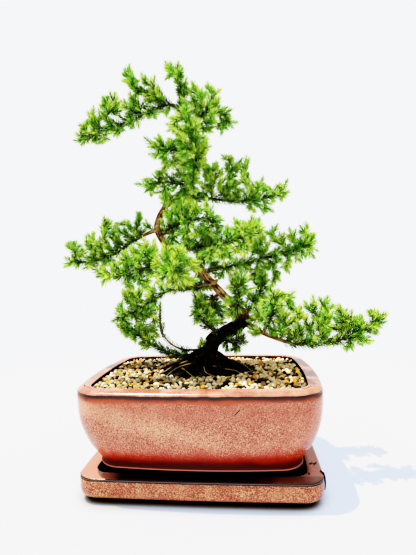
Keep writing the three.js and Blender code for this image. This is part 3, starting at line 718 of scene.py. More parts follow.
@dataclass(frozen=True)
class PotGlaze(Coating):
    """Rose-pink glaze, grainy as sand, with a cream streak, amber at the rim, and dark red at the foot that
    deepens into painted shade.
    """

    grit: Colour = paint(132, 58, 42)
    rose: Colour = paint(184, 100, 80)
    blush: Colour = paint(212, 138, 114)
    cream: Colour = paint(240, 196, 152)
    amber: Colour = paint(176, 82, 40)
    rust: Colour = paint(168, 46, 14)
    ember_shade: Colour = paint(84, 9, 4)
    smoke: Colour = paint(40, 18, 12)
    rim: Colour = paint(176, 100, 82)
    rim_pale: Colour = paint(204, 136, 110)
    line: Colour = paint(12, 9, 10)
    edge: Colour = paint(206, 138, 112)
    scratch: tuple[float, float] = (22.4, 76.7)

    def material(self) -> Material:
        """Builds the glaze.

        Returns:
            The new material.
        """
        finish = Finish("pot_glaze")
        _, _, z = finish.axes()
        waver = finish.grain(55, 2, 0.5).swing(22.0)
        cloud = finish.grain(14, 3, 0.55)
        sand = finish.grain(0.66, 1, 0.5)
        body = self.sandy(finish, waver, cloud, sand)
        body = self.ends(finish, body, waver, cloud, sand)
        pale = finish.lay(cloud.fade(0.38, 0.62), self.rim, self.rim_pale)
        top = finish.lay(sand.fade(0.5, 0.7) * 0.3, pale, self.cream)
        hem = z + cloud.swing(0.9)
        body = finish.lay(hem.fade(87.7, 88.3), body, top)
        finish.set(
            Base_Color=finish.lay(hem.band((86.2, 86.7), (88.3, 87.8)), body, self.line),
            Roughness=cloud * 0.14 + 0.16 + z.fade(38.0, 29.0) * 0.4,
            Coat_Weight=z.fade(32.0, 62.0) * 0.5,
            Specular_IOR_Level=0.5,
            Coat_Roughness=0.12,
        )
        finish.relief(sand + cloud * 2.0, 0.06)
        return finish.material

    def sandy(self, finish: Finish, waver: Value, cloud: Value, sand: Value) -> Value:
        """The body's grains, palest along a streak that sinks from the left towards the middle.

        Args:
            finish: the glaze.
            waver: a slow swing that bends the streak.
            cloud: middling patches.
            sand: the grains.

        Returns:
            The body's colour.
        """
        x, _, z = finish.axes()
        drift = z + x * 0.24 + waver * 0.3
        streak = drift.band((43.0, 53.0), (66.0, 56.0)) * x.fade(26.0, -22.0)
        belt = z.band((40.0, 54.0), (76.0, 62.0)) * x.fade(84.0, 30.0)
        grains = (sand - 0.5) * (belt * 0.5 + 0.62)
        tone = (grains + 0.5) + (streak * 0.075 + belt * 0.004 + cloud.swing(0.16))
        stops = [(0.34, self.grit), (0.46, self.rose), (0.56, self.blush), (0.7, self.cream)]
        return finish.ramp(tone, stops)

    def ends(self, finish: Finish, body: Value, waver: Value, cloud: Value, sand: Value) -> Value:
        """The amber band under the rim, the dark red above the foot that deepens into painted shade where
        the body turns under, a painted highlight on the foot line, and one short scratch.

        Args:
            finish: the glaze.
            body: the colour that they are laid on.
            waver: a slow swing that bends their edges.
            cloud: middling patches, which fray them.
            sand: the grains, which fray the red.

        Returns:
            The body's colour with all of them.
        """
        x, y, z = finish.axes()
        sink = z + waver * 0.26 + cloud.swing(4.0)
        body = finish.lay((z + waver * 0.3).fade(81.6, 84.2) * 0.8, body, self.amber)
        body = finish.lay((z + cloud.swing(5.0)).fade(83.2, 86.2) * 0.75, body, self.smoke)
        # The red above the foot, going near black below it: the glaze's own red, deepened by painted shade
        # where the body turns under.
        body = finish.lay((sink + sand.swing(26.0)).fade(50.0, 36.5), body, self.rust)
        body = finish.lay(sink.fade(38.5, 30.5), body, self.ember_shade)
        # A thin pale line on the foot line: a painted highlight.
        body = finish.lay(z.fade(27.4, 27.1), body, self.edge)
        body = finish.lay(z.fade(26.7, 26.2), body, self.rust)
        middle, height = self.scratch
        slant = (x - middle) - (z - height)
        near = abs(slant).fade(0.75, 0.35) * y.fade(-60, -64)
        return finish.lay(near * abs(z - height).fade(2.6, 1.8), body, self.smoke)


@dataclass(frozen=True)
class TrayGlaze(Coating):
    """Mottled orange-tan glaze with a dark lip line split by a painted highlight, and painted shade with a
    painted reflection on the front of its rim, near black to dark red.
    """

    grit: Colour = paint(124, 48, 24)
    orange: Colour = paint(172, 92, 58)
    tan: Colour = paint(202, 134, 98)
    cream: Colour = paint(238, 192, 146)
    line: Colour = paint(12, 9, 10)
    glint: Colour = paint(176, 158, 150)
    flat: Colour = paint(190, 122, 98)
    front_shade_red: Colour = paint(62, 16, 8)
    black: Colour = paint(64, 14, 9)
    foot: Colour = paint(150, 78, 44)

    def material(self) -> Material:
        """Builds the glaze.

        Returns:
            The new material.
        """
        finish = Finish("tray_glaze")
        x, y, z = finish.axes()
        cloud = finish.grain(10, 3, 0.6)
        sand = finish.grain(0.75, 1, 0.5)
        stops = [(0.34, self.grit), (0.46, self.orange), (0.56, self.tan), (0.74, self.cream)]
        body = finish.ramp(sand + cloud.swing(0.3), stops)
        body = finish.lay(z.fade(7.5, 4.6), body, self.foot)
        hem = z + cloud.swing(0.5)
        top = finish.lay(sand.fade(0.4, 0.7), self.flat, self.tan)
        # On the front of the rim's top: painted shade from the pot above it and a painted reflection of the
        # pot's dark foot, near black on the left and dark red on the right.
        ragged = x + cloud.swing(30.0)
        front = y.fade(-52.0, -56.0) * ragged.fade(86.0, 30.0) * x.fade(-82.0, -70.0)
        rest = y.fade(-54.0, -56.5) * 0.6 * x.fade(-84.0, -74.0)
        front_shade = finish.lay(ragged.fade(0.0, 30.0), self.black, self.front_shade_red)
        top = finish.lay(front.step(Step.LARGER, rest), top, front_shade)
        body = finish.lay(hem.fade(20.5, 20.7), body, top)
        body = finish.lay(hem.band((18.5, 18.9), (20.75, 20.55)), body, self.line)
        # A pale line within the dark lip line: a painted highlight.
        finish.set(
            Base_Color=finish.lay(hem.band((19.5, 19.7), (20.1, 19.9)) * 0.6, body, self.glint),
            Roughness=cloud * 0.12 + 0.2,
            Coat_Weight=0.4,
            Coat_Roughness=0.15,
        )
        finish.relief(sand + cloud * 1.5, 0.07)
        return finish.material


@dataclass(frozen=True)
class GlazeInShade(Coating):
    """Near black for the parts of the pot and tray that lie in shadow: painted shade over glaze and bare
    clay whose own colour is lighter.
    """

    name: str
    deep: Colour = paint(16, 9, 8)
    lifted: Colour = paint(52, 22, 16)
    sheen: float = 0.25

    def material(self) -> Material:
        """Builds the near-black painted shade.

        Returns:
            The new material.
        """
        finish = Finish(self.name)
        cloud = finish.grain(7, 3, 0.6)
        tone = finish.lay(cloud.fade(0.45, 0.75), self.deep, self.lifted)
        finish.set(Base_Color=tone, Roughness=self.sheen)
        finish.relief(finish.grain(2, 2), 0.08)
        return finish.material


@dataclass(frozen=True)
class Stone(Coating):
    """Small stones, each of its own colour, with painted shade on their undersides and painted light on
    those towards the right.
    """

    black: Colour = paint(24, 20, 18)
    ochre: Colour = paint(214, 152, 54)
    tan: Colour = paint(160, 134, 92)
    cream: Colour = paint(208, 188, 146)
    white: Colour = paint(240, 232, 208)
    painted_light_cream: Colour = paint(255, 228, 180)

    def material(self) -> Material:
        """Builds the stones' finish: the first growth number picks the colour, and the second, a point's
        height on its stone, lays painted shade on the stone's underside.

        Returns:
            The new material.
        """
        finish = Finish("gravel")
        pick, shade, _ = finish.growth()
        stops = [
            (0.0, self.black), (0.17, self.black), (0.2, self.tan), (0.26, self.ochre), (0.34, self.ochre),
            (0.42, self.cream), (0.6, self.tan), (0.78, self.cream), (0.9, self.white),
        ]
        vein = finish.grain(0.9, 3, 0.6)
        # Paler stones towards the right, where the tree's shadow falls on the gravel: painted light.
        dry = finish.axes()[0].fade(-24.0, 30.0) * 0.85
        tone = finish.lay(dry * pick.fade(0.32, 0.43), finish.ramp(pick, stops), self.painted_light_cream)
        tone = finish.lay(vein.fade(0.55, 0.7) * 0.45, tone, self.tan)
        tone = finish.lay(vein.fade(0.42, 0.3) * 0.5, tone, self.black)
        # Black over the lower part of each stone: painted shade in the gaps between them.
        finish.set(Base_Color=finish.lay(shade.fade(0.5, 0.15) * 0.9, tone, self.black), Roughness=0.8)
        finish.relief(vein, 0.25)
        return finish.material


@dataclass(frozen=True)
class Earth(Coating):
    """Dark, moist soil with lighter grit."""

    name: str = "soil"
    wet: Colour = paint(14, 10, 8)
    dry: Colour = paint(32, 23, 17)
    grit: Colour = paint(120, 96, 66)

    def material(self) -> Material:
        """Builds the soil.

        Returns:
            The new material.
        """
        finish = Finish(self.name)
        lump = finish.grain(5, 4, 0.65)
        tone = finish.lay(lump.fade(0.45, 0.72), self.wet, self.dry)
        chip = finish.grain(1.0, 2, 0.5).fade(0.66, 0.72)
        finish.set(Base_Color=finish.lay(chip * 0.5, tone, self.grit), Roughness=0.85)
        finish.relief(finish.cells(1.3) + lump, 0.9)
        return finish.material


@dataclass(frozen=True)
class Bark(Coating):
    """Flaky reddish-brown bark, with painted shade that makes it nearly black at the foot of the trunk."""

    pitch: Colour = paint(14, 9, 6)
    umber: Colour = paint(78, 48, 30)
    russet: Colour = paint(150, 102, 62)
    straw: Colour = paint(226, 190, 142)
    ash: Colour = paint(190, 166, 134)
    olive: Colour = paint(150, 134, 58)
    shaded_bark: Colour = paint(42, 25, 14)

    def material(self) -> Material:
        """Builds the bark: growth gives the height of a flake, the painted shade and the youth.

        Returns:
            The new material.
        """
        finish = Finish("bark")
        flake, wet, youth = finish.growth()
        fibre = finish.grain(1.2, 4, 0.7, warp=0.6)
        patch = finish.grain(9, 3, 0.6)
        raised = flake * 0.75 + fibre * 0.4
        stops = [(0.24, self.pitch), (0.42, self.umber), (0.56, self.russet), (0.72, self.straw)]
        tone = finish.lay(patch.fade(0.55, 0.7) * 0.35, finish.ramp(raised, stops), self.ash)
        tone = finish.lay(youth * 0.55, tone, self.olive)
        # Where the second growth number is high the bark goes near black: painted shade low on the wood.
        shaded_bark = finish.lay(raised.fade(0.55, 0.9), self.pitch, self.shaded_bark)
        finish.set(Base_Color=finish.lay(wet, tone, shaded_bark), Roughness=0.85)
        finish.relief(fibre, 0.5)
        return finish.material


@dataclass(frozen=True)
class Needles(Coating):
    """Sharp green needles: growth gives age, a random number and the place along a needle; the lowest ages
    give the old inner needles a near-black green that is partly painted shade.

    The upper face of a needle carries a pale bloom, which the keel under it lacks.
    """

    name: str
    bloomed: float
    shade: Colour = paint(16, 36, 12)
    old: Colour = paint(60, 98, 30)
    middle: Colour = paint(140, 184, 62)
    young: Colour = paint(206, 236, 80)
    tip: Colour = paint(236, 250, 136)
    bloom: Colour = paint(226, 240, 204)
    lively: Colour = paint(96, 208, 62)

    def material(self) -> Material:
        """Builds the needles.

        Returns:
            The new material.
        """
        finish = Finish(self.name)
        age, chance, along = finish.growth()
        freshness = age.step(Step.ADD, (chance - 0.48) * 0.68, clamp=True)
        # The darkest stop is painted shade deep in the sprays, over the darker green of old needles.
        stops = [(0.0, self.shade), (0.22, self.old), (0.46, self.middle)]
        stops += [(0.72, self.young), (1.0, self.tip)]
        patch = finish.grain(11, 1).fade(0.44, 0.6) * freshness.fade(0.15, 0.5)
        tone = finish.lay(patch * 0.46, finish.ramp(freshness, stops), self.lively)
        pale = chance.fade(0.3, 0.8) * along.fade(0.95, 0.3)
        tone = finish.lay(pale * self.bloomed, tone, self.bloom)
        tone = finish.lay(along.fade(0.5, 1.0) * 0.35, tone, self.tip)
        finish.set(Base_Color=tone, Roughness=0.38, Specular_IOR_Level=0.35)
        return finish.material


@dataclass(frozen=True)
class Twigs(Coating):
    """Green stems that turn woody and olive-brown with age."""

    wood: Colour = paint(96, 66, 36)
    olive: Colour = paint(128, 124, 40)
    green: Colour = paint(96, 150, 40)

    def material(self) -> Material:
        """Builds the stems' finish.

        Returns:
            The new material.
        """
        finish = Finish("twigs")
        scale = finish.cells(1.4)
        tone = finish.ramp(finish.growth()[0], [(0.0, self.wood), (0.35, self.olive), (0.8, self.green)])
        finish.set(Base_Color=finish.lay(scale.fade(0.2, 0.7) * 0.35, tone, self.wood), Roughness=0.6)
        finish.relief(scale, 0.2)
        return finish.material


@dataclass(frozen=True)
class Plastic(Coating):
    """Black woven mesh of dull plastic."""

    black: Colour = paint(24, 24, 24)
    grey: Colour = paint(44, 44, 44)

    def material(self) -> Material:
        """Builds the plastic.

        Returns:
            The new material.
        """
        finish = Finish("mesh_plastic")
        finish.set(Base_Color=finish.lay(finish.grain(3), self.black, self.grey), Roughness=0.6)
        return finish.material


# ---------------------------------------------------------------- the camera


@dataclass(frozen=True)
class Viewpoint:
    """The camera, at the height of the lower foliage and a little to the right of the trunk."""

    place: tuple[float, float, float] = (40.5, -358.9, 173.1)
    turn: float = 0.095
    dip: float = -0.010
    tilt: float = -0.026
    focal_px: float = 385.0
    picture_px: tuple[float, float] = (416.0, 555.0)
    sensor: float = 36.0

    def axes(self) -> tuple[Array, Array, Array]:
        """The directions to the picture's right, to its top and into it.

        Returns:
            Three unit vectors, in that order.
        """
        ahead = np.array([-math.sin(self.turn), math.cos(self.turn), 0])
        right = np.array([math.cos(self.turn), math.sin(self.turn), 0])
        up = np.array([0, 0, 1.0])
        look = ahead * math.cos(self.dip) - up * math.sin(self.dip)
        lift = ahead * math.sin(self.dip) + up * math.cos(self.dip)
        across = right * math.cos(self.tilt) + lift * math.sin(self.tilt)
        above = lift * math.cos(self.tilt) - right * math.sin(self.tilt)
        return across, above, look

    def pixels(self, points: Array) -> Array:
        """Where points show in the picture, as rows of x and y in pixels.

        Args:
            points: rows of x, y and z in millimetres.

        Returns:
            One row for each point.
        """
        across, above, look = self.axes()
        seen = points - np.array(self.place)
        scale = self.focal_px / (seen @ look)
        width, height = self.picture_px
        return np.stack([width / 2 + scale * (seen @ across), height / 2 - scale * (seen @ above)], -1)

    def behind(self, pixel: tuple[float, float], depth: float) -> Array:
        """The point behind a pixel whose y is depth.

        Args:
            pixel: x and y in the picture.
            depth: the y of the point, in millimetres.

        Returns:
            The point in millimetres.
        """
        across, above, look = self.axes()
        width, height = self.picture_px
        ray = look + across * (pixel[0] - width / 2) / self.focal_px
        ray = ray - above * (pixel[1] - height / 2) / self.focal_px
        start = np.array(self.place)
        return start + ray * (depth - start[1]) / ray[1]

    def build(self, shop: Workshop) -> None:
        """Makes the camera and looks through it.

        Args:
            shop: the workshop that turns shapes into pieces.
        """
        across, above, look = self.axes()
        camera = bpy.data.cameras.new("view")
        camera.sensor_width = self.sensor
        camera.lens = self.focal_px * self.sensor / max(self.picture_px)
        camera.clip_start = 0.01
        holder = bpy.data.objects.new("view", camera)
        turned = Matrix((across, above, -look)).transposed().to_4x4()
        holder.matrix_world = Matrix.Translation(Vector(shop.to_row(np.array(self.place)))) @ turned
        bpy.context.scene.collection.objects.link(holder)
        bpy.context.scene.camera = holder


# ---------------------------------------------------------------- the tree, point by point

TRUNK: Route = [
    (3, 0, 97, 9), (4, 0, 102, 7.9), (6, 0, 108, 7), (11, -2, 118, 6.6), (22, -4, 126, 6.4),
    (33, -5, 132, 6.4), (39, -5, 139, 5.6), (34, -4, 147, 4.7), (23, 0, 157, 3.9), (11, 3, 170, 3.7),
    (1, 6, 181, 3.6), (-11, 8, 191, 3.4), (-24, 6, 200, 3.2), (-34, 1, 210, 3.2), (-40, -4, 224, 3.1),
    (-38, -4, 233, 3), (-28, 0, 250, 2.8), (-8, 3, 264, 2.5), (-1, 1, 281, 2.3), (0, 0, 302, 2.1),
    (-4, 0, 316, 1.9), (-10, 0, 329, 1.7),
]


@dataclass(frozen=True)
class SprayPlan:
    """One limb of the tree: its wood, its green stem and the points that its shoots reach.

    seen gives more tips by where they show in the picture, in pixels. fresh lifts or lowers the tone of its
    needles beside those of the rest of the tree: partly the age of its growth, partly painted light on
    sprays at the front and painted shade on those at the back and low by the trunk. bare the share of the
    limb's wood that carries none, girth how thick the limb is, bushy how many side shoots its shoots have
    and needle_share how long its needles are beside those of the rest of the tree.
    """

    name: str
    limb: Route
    stem: Route
    tips: Route
    seen: Route = ()
    youth_and_light: float = 0.0
    bare: float = 0.35
    girth: float = 1.0
    bushy: float = 1.0
    needle_share: float = 1.0


SPRAYS = [
    SprayPlan(
        "spray_top_left", youth_and_light=-0.08, bare=0.0,
        limb=[(-8, 0, 325), (-15, -2, 334), (-20, -3, 338)],
        stem=[
            (-30, -5, 339), (-45, -8, 332), (-60, -10, 325), (-77, -10, 320), (-94, -8, 315),
            (-116, -6, 309),
        ],
        tips=[
            (-64, -2, 379), (-41, -12, 363), (-56, 8, 359), (-74, -16, 349), (-89, -2, 351), (-97, -14, 337),
            (-113, 0, 328), (-84, -16, 305), (-102, 4, 312), (-32, -18, 345), (-45, 8, 350), (-76, 8, 344),
            (-58, -20, 316), (-100, 8, 333), (-66, -18, 336),
        ],
        seen=[
            (127, 83), (134, 90), (131, 97), (137, 101), (143, 96), (147, 104), (153, 96), (91, 113),
            (107, 107), (113, 101), (118, 98), (103, 112), (88, 119), (94, 124), (86, 130), (120, 133),
            (130, 127), (140, 124), (150, 118), (158, 116), (155, 88), (164, 113), (170, 104), (160, 110),
            (134, 95), (138, 107), (104, 118), (108, 122), (101, 117), (123, 79), (82, 137), (106, 98),
            (121, 104), (127, 108), (134, 119), (146, 110), (131, 74), (130, 80), (143, 90), (149, 92),
            (146, 100), (128, 92), (96, 116), (107, 126), (112, 133), (104, 133), (92, 131), (167, 116),
            (160, 113), (130, 104), (134, 108), (132, 100), (124, 73), (127, 76), (168, 111), (171, 108),
            (84, 123), (88, 125), (102, 111), (124, 112), (131, 69),
        ],
    ),
    SprayPlan(
        "spray_apex",
        limb=[(-9, 0, 327), (-12, 2, 336)],
        stem=[(-13, 2, 346), (-17, 3, 362), (-23, 4, 381)],
        tips=[(-11, -5, 366), (-26, -6, 366), (-6, 10, 355)],
        seen=[
            (165, 68), (179, 71), (175, 82), (180, 88), (178, 95), (184, 99), (188, 104), (186, 85),
            (172, 68), (175, 75), (183, 78), (166, 63), (178, 65), (169, 72), (167, 78),
        ],
    ),
    SprayPlan(
        "spray_top_right",
        limb=[(-3, 0, 312), (2, 6, 322)],
        stem=[(5, 9, 334), (12, 12, 338), (22, 16, 337), (32, 20, 336)],
        tips=[
            (-2, 0, 359), (8, 10, 364), (19, 14, 359), (22, 4, 341), (33, 18, 326), (24, 10, 316),
            (15, -8, 322), (9, -8, 342), (24, 28, 335),
        ],
        seen=[
            (193, 88), (199, 88), (207, 92), (214, 92), (212, 100), (203, 103), (197, 108), (213, 110),
            (218, 114), (226, 124), (219, 127), (213, 122), (207, 118), (210, 129), (197, 115), (192, 94),
            (196, 101), (191, 101), (190, 107), (195, 112), (203, 133), (209, 132), (192, 118), (215, 117),
            (222, 120), (207, 107), (206, 133), (213, 132), (222, 126), (209, 116), (199, 110), (193, 84),
            (213, 87), (218, 90), (209, 86), (219, 119), (207, 121), (217, 129), (221, 124),
        ],
    ),
    SprayPlan(
        "spray_crown_front", youth_and_light=0.1,
        limb=[(-2, 2, 276), (-1, -7, 281)],
        stem=[(-1, -12, 288), (-2, -14, 300), (-5, -15, 311), (-10, -22, 332)],
        tips=[
            (-13, -28, 304), (12, -24, 299), (11, -18, 292), (-5, -30, 284), (-16, -22, 288),
            (-17, -16, 278), (-22, -20, 317), (4, -26, 316),
        ],
        seen=[
            (174, 121), (180, 126), (186, 131), (176, 130), (194, 126), (202, 134), (206, 142), (203, 152),
            (192, 152), (186, 146), (182, 138), (190, 138), (199, 161), (205, 160), (195, 172), (188, 166),
            (191, 180), (197, 184), (204, 168), (183, 160), (176, 156), (168, 128), (172, 133), (177, 136),
            (184, 169), (190, 172), (186, 176), (199, 175), (192, 190), (187, 186), (197, 196), (183, 150),
            (189, 154),
        ],
    ),
    SprayPlan(
        "spray_crown_back",
        limb=[(-1, 1, 281), (-1, 9, 286)],
        stem=[(-2, 14, 294), (-4, 16, 308), (-10, 19, 327), (-14, 22, 346)],
        tips=[(-24, 24, 316), (8, 24, 305), (-4, 30, 328), (-28, 22, 296), (4, 30, 288)],
        seen=[
            (169, 127), (188, 114), (207, 136), (208, 146), (202, 156), (171, 143), (180, 150), (193, 160),
        ],
    ),
    SprayPlan(
        "spray_mid_left",
        limb=[(0, 0, 296), (-6, -6, 294)],
        stem=[(-16, -14, 293), (-24, -22, 292), (-41, -34, 291)],
        tips=[(-31, -30, 303), (-38, -24, 283), (-23, -28, 296), (-27, -14, 302)],
        seen=[
            (152, 141), (157, 154), (166, 157), (174, 162), (180, 158), (170, 168), (182, 166), (165, 161),
            (162, 164), (167, 168), (174, 168), (161, 145), (177, 163),
        ],
    ),
    SprayPlan(
        "spray_mid_left_low",
        limb=[(-9, 3, 264), (-14, -4, 264)],
        stem=[(-22, -12, 264), (-31, -19, 264), (-48, -30, 258)],
        tips=[(-37, -22, 274), (-41, -24, 251), (-30, -16, 252), (-25, -22, 278)],
        seen=[
            (149, 190), (158, 188), (163, 176), (171, 176), (177, 171), (180, 180), (175, 188), (168, 193),
            (160, 197), (183, 172), (186, 186), (187, 176), (173, 190), (162, 186), (182, 178), (190, 170),
            (193, 181), (188, 193), (180, 196), (173, 200), (183, 202), (191, 200), (152, 192), (166, 199),
            (181, 187), (168, 204), (174, 206), (170, 198), (177, 201), (164, 202), (180, 209), (186, 206),
            (163, 168), (178, 168),
        ],
    ),
    SprayPlan(
        "spray_right_upper", bare=0.0, girth=0.62,
        limb=[(-20, 2, 255), (-6, 6, 252), (6, 10, 253)],
        stem=[(18, 14, 252), (32, 18, 251), (48, 21, 251), (62, 24, 253), (85, 24, 260)],
        tips=[
            (29, 14, 295), (46, 22, 292), (20, 24, 296), (61, 30, 273), (82, 30, 268), (63, 22, 241),
            (50, 8, 258), (39, 6, 272), (7, 14, 278), (36, 34, 281), (68, 12, 258), (46, 14, 241),
            (14, 8, 274),
        ],
        seen=[
            (205, 178), (209, 170), (213, 164), (219, 165), (226, 162), (238, 166), (243, 166), (247, 172),
            (249, 184), (257, 183), (243, 178), (236, 184), (229, 178), (222, 178), (216, 184), (209, 188),
            (203, 192), (226, 190), (238, 193), (246, 192), (255, 190), (264, 187), (273, 190), (282, 186),
            (286, 192), (252, 205), (258, 208), (266, 207), (215, 194), (196, 190), (199, 182), (232, 171),
            (203, 174), (206, 184), (230, 160), (235, 163), (233, 168), (225, 172), (240, 161), (246, 160),
            (240, 183), (243, 188), (248, 190), (236, 190), (219, 189), (223, 185), (281, 200), (275, 201),
            (261, 209), (264, 204), (227, 156), (212, 176), (231, 183), (232, 195), (241, 197), (250, 197),
            (268, 193), (276, 184), (209, 166), (208, 171), (211, 182), (212, 190), (222, 192), (234, 180),
            (229, 167), (204, 165), (254, 186), (259, 190), (253, 209), (220, 170), (220, 175), (229, 189),
            (227, 194), (243, 204), (262, 211), (267, 211), (246, 164), (244, 168), (242, 170), (260, 186),
            (285, 197), (213, 167), (233, 159), (238, 190),
        ],
    ),
    SprayPlan(
        "spray_middle_front", youth_and_light=-0.04, bare=0.2,
        limb=[(-37, -2, 217), (-30, -11, 220)],
        stem=[(-22, -18, 223), (-12, -24, 226), (0, -28, 228), (22, -26, 224)],
        tips=[
            (8, -30, 240), (5, -42, 233), (-13, -38, 226), (-4, -38, 213), (-20, -26, 239), (-8, -26, 245),
            (11, -36, 214),
        ],
        seen=[
            (170, 212), (166, 220), (163, 227), (172, 240), (178, 246), (186, 243), (192, 247), (199, 244),
            (207, 242), (212, 236), (218, 238), (222, 232), (215, 226), (207, 222), (210, 213), (205, 206),
            (196, 205), (188, 208), (179, 206), (173, 219), (192, 229), (202, 232), (177, 233), (169, 247),
            (187, 236), (166, 208), (164, 215), (161, 222), (183, 235), (186, 230), (180, 242), (176, 226),
            (181, 216), (187, 214), (194, 211), (189, 221), (196, 222), (198, 216), (203, 227), (197, 237),
            (204, 238), (209, 230), (213, 212), (208, 207), (200, 209), (174, 237), (165, 241), (180, 222),
            (163, 234), (176, 213), (193, 235), (172, 206), (177, 209), (184, 209), (168, 215),
        ],
    ),
    SprayPlan(
        "spray_centre", bare=0.1, youth_and_light=0.03,
        limb=[(-25, 6, 200), (-14, -6, 203), (-4, -17, 204)],
        stem=[(7, -28, 203), (20, -40, 204), (33, -48, 206), (56, -50, 213)],
        tips=[
            (36, -50, 223), (27, -44, 220), (50, -54, 217), (48, -60, 206), (37, -56, 194), (23, -52, 191),
            (9, -42, 192), (40, -66, 210),
        ],
        seen=[
            (225, 231), (232, 228), (239, 226), (258, 222), (261, 230), (266, 226), (256, 236), (248, 241),
            (240, 243), (232, 246), (224, 249), (215, 250), (208, 256), (214, 260), (222, 262), (228, 256),
            (235, 262), (243, 255), (250, 250), (244, 232), (234, 237), (226, 240), (203, 251), (200, 258),
            (229, 236), (237, 232), (228, 251), (238, 250), (244, 247), (252, 226), (246, 227), (219, 256),
            (212, 253), (257, 228),
        ],
    ),
    SprayPlan(
        "spray_front_bright", youth_and_light=0.12,
        limb=[(-24, 6, 199), (-24, -5, 194), (-22, -15, 191)],
        stem=[(-20, -26, 188), (-18, -37, 186), (-16, -61, 184)],
        tips=[
            (-33, -46, 191), (-25, -48, 201), (-11, -50, 200), (-28, -50, 175), (-16, -50, 168),
            (-3, -48, 173), (0, -44, 187),
        ],
        seen=[
            (163, 250), (157, 253), (168, 247), (181, 246), (187, 252), (192, 258), (196, 266), (190, 274),
            (197, 278), (183, 276), (175, 279), (168, 285), (160, 284), (154, 276), (152, 266), (158, 262),
            (166, 262), (186, 266), (180, 258), (172, 273), (162, 275), (185, 284), (192, 284), (171, 257),
            (164, 256), (173, 251), (160, 269), (167, 279), (179, 273), (188, 270), (155, 258), (183, 250),
            (198, 272), (165, 268), (172, 280), (180, 283), (188, 280), (154, 270),
        ],
    ),
    SprayPlan(
        "spray_left", youth_and_light=-0.04, bare=0.7,
        limb=[(-40, -4, 223), (-50, -1, 220), (-58, 2, 217)],
        stem=[(-66, 5, 214), (-75, 8, 209), (-85, 11, 204), (-95, 12, 200), (-107, 11, 197), (-139, 8, 194)],
        tips=[
            (-137, 12, 217), (-124, 0, 214), (-124, 4, 189), (-110, 14, 223), (-92, 8, 238), (-71, 0, 233),
            (-57, -4, 240), (-106, 18, 187), (-86, 2, 190), (-94, 0, 216), (-122, 20, 206), (-82, 20, 217),
        ],
        seen=[
            (79, 250), (86, 243), (90, 236), (96, 241), (99, 248), (92, 252), (104, 252), (108, 244),
            (102, 234), (103, 227), (110, 222), (112, 229), (119, 233), (124, 237), (116, 240), (127, 243),
            (132, 229), (137, 235), (142, 221), (146, 228), (141, 215), (134, 240), (114, 248), (88, 258),
            (78, 266), (96, 245), (93, 250), (99, 254), (105, 226), (107, 231), (140, 232), (129, 235),
            (122, 230), (68, 265), (84, 254), (78, 257), (89, 247), (74, 246), (104, 246), (98, 243),
            (132, 227), (136, 231), (103, 222), (109, 234), (114, 226), (126, 233), (93, 232), (84, 249),
            (103, 262), (108, 264),
        ],
    ),
    SprayPlan(
        "spray_left_low",
        limb=[(-12, 8, 191), (-22, -4, 185), (-32, -18, 186)],
        stem=[(-41, -28, 187), (-50, -34, 184), (-60, -37, 180), (-89, -38, 183)],
        tips=[
            (-83, -34, 173), (-45, -34, 208), (-65, -44, 191), (-57, -40, 168), (-68, -50, 182),
            (-52, -48, 191), (-42, -44, 172),
        ],
        seen=[
            (104, 268), (111, 262), (118, 256), (125, 252), (131, 247), (138, 243), (147, 242), (154, 243),
            (157, 249), (150, 252), (143, 252), (136, 256), (129, 262), (121, 268), (113, 272), (118, 280),
            (127, 277), (134, 280), (142, 276), (149, 272), (148, 264), (140, 266), (154, 260), (139, 285),
            (146, 290), (151, 282), (126, 270), (122, 260), (126, 257), (124, 265), (149, 277), (153, 272),
            (137, 262), (144, 259), (113, 267), (140, 249), (150, 246), (138, 271), (122, 273), (145, 270),
            (146, 284), (135, 290), (155, 252), (157, 246), (152, 256), (148, 280), (156, 276), (158, 272),
            (128, 289), (135, 249),
        ],
    ),
    SprayPlan(
        "spray_left_lowest", bare=0.2, girth=0.75,
        limb=[(11, 3, 170), (-5, 12, 168), (-25, 22, 167), (-38, 29, 164)],
        stem=[(-48, 31, 159), (-58, 32, 153), (-68, 31, 147), (-78, 30, 142), (-95, 24, 136)],
        tips=[
            (-86, 26, 165), (-94, 28, 149), (-90, 34, 128), (-83, 26, 119), (-75, 38, 160), (-62, 38, 168),
            (-76, 44, 136), (-62, 36, 126), (-49, 30, 173), (-72, 18, 150),
        ],
        seen=[
            (123, 290), (130, 285), (137, 290), (144, 294), (151, 288), (157, 281), (160, 289), (157, 296),
            (150, 300), (143, 304), (136, 300), (129, 298), (133, 308), (126, 309), (120, 314), (128, 318),
            (137, 314), (144, 312), (151, 310), (153, 318), (146, 322), (138, 324), (130, 326), (122, 324),
            (135, 333), (128, 337), (142, 336), (149, 330), (155, 326), (146, 312), (150, 318), (155, 323),
            (152, 332), (148, 329), (156, 334), (133, 293), (121, 310), (133, 320), (140, 330), (146, 336),
            (168, 287), (176, 286), (184, 284), (192, 282), (200, 286), (207, 289), (196, 279), (190, 287),
            (127, 292), (131, 296), (141, 311), (145, 318), (155, 308), (157, 314), (158, 322), (159, 330),
            (160, 338), (175, 293), (168, 293), (185, 291), (148, 286), (152, 292), (149, 296), (139, 316),
            (143, 284), (141, 288), (147, 290), (168, 291), (178, 291),
        ],
    ),
    SprayPlan(
        "spray_trailing", bare=0.3, girth=0.5,
        limb=[(5, 2, 108), (-12, 8, 104), (-27, 13, 102), (-41, 17, 105), (-53, 18, 112)],
        stem=[(-61, 19, 118), (-69, 18, 122), (-86, 10, 132)],
        tips=[(-60, 12, 110), (-79, 14, 119), (-60, 8, 131), (-73, 26, 116)],
        seen=[
            (125, 331), (132, 338), (139, 344), (146, 346), (143, 334), (150, 338), (155, 332), (154, 342),
            (148, 350),
        ],
    ),
    SprayPlan(
        "spray_whip", bushy=0.05, girth=0.55, needle_share=0.6,
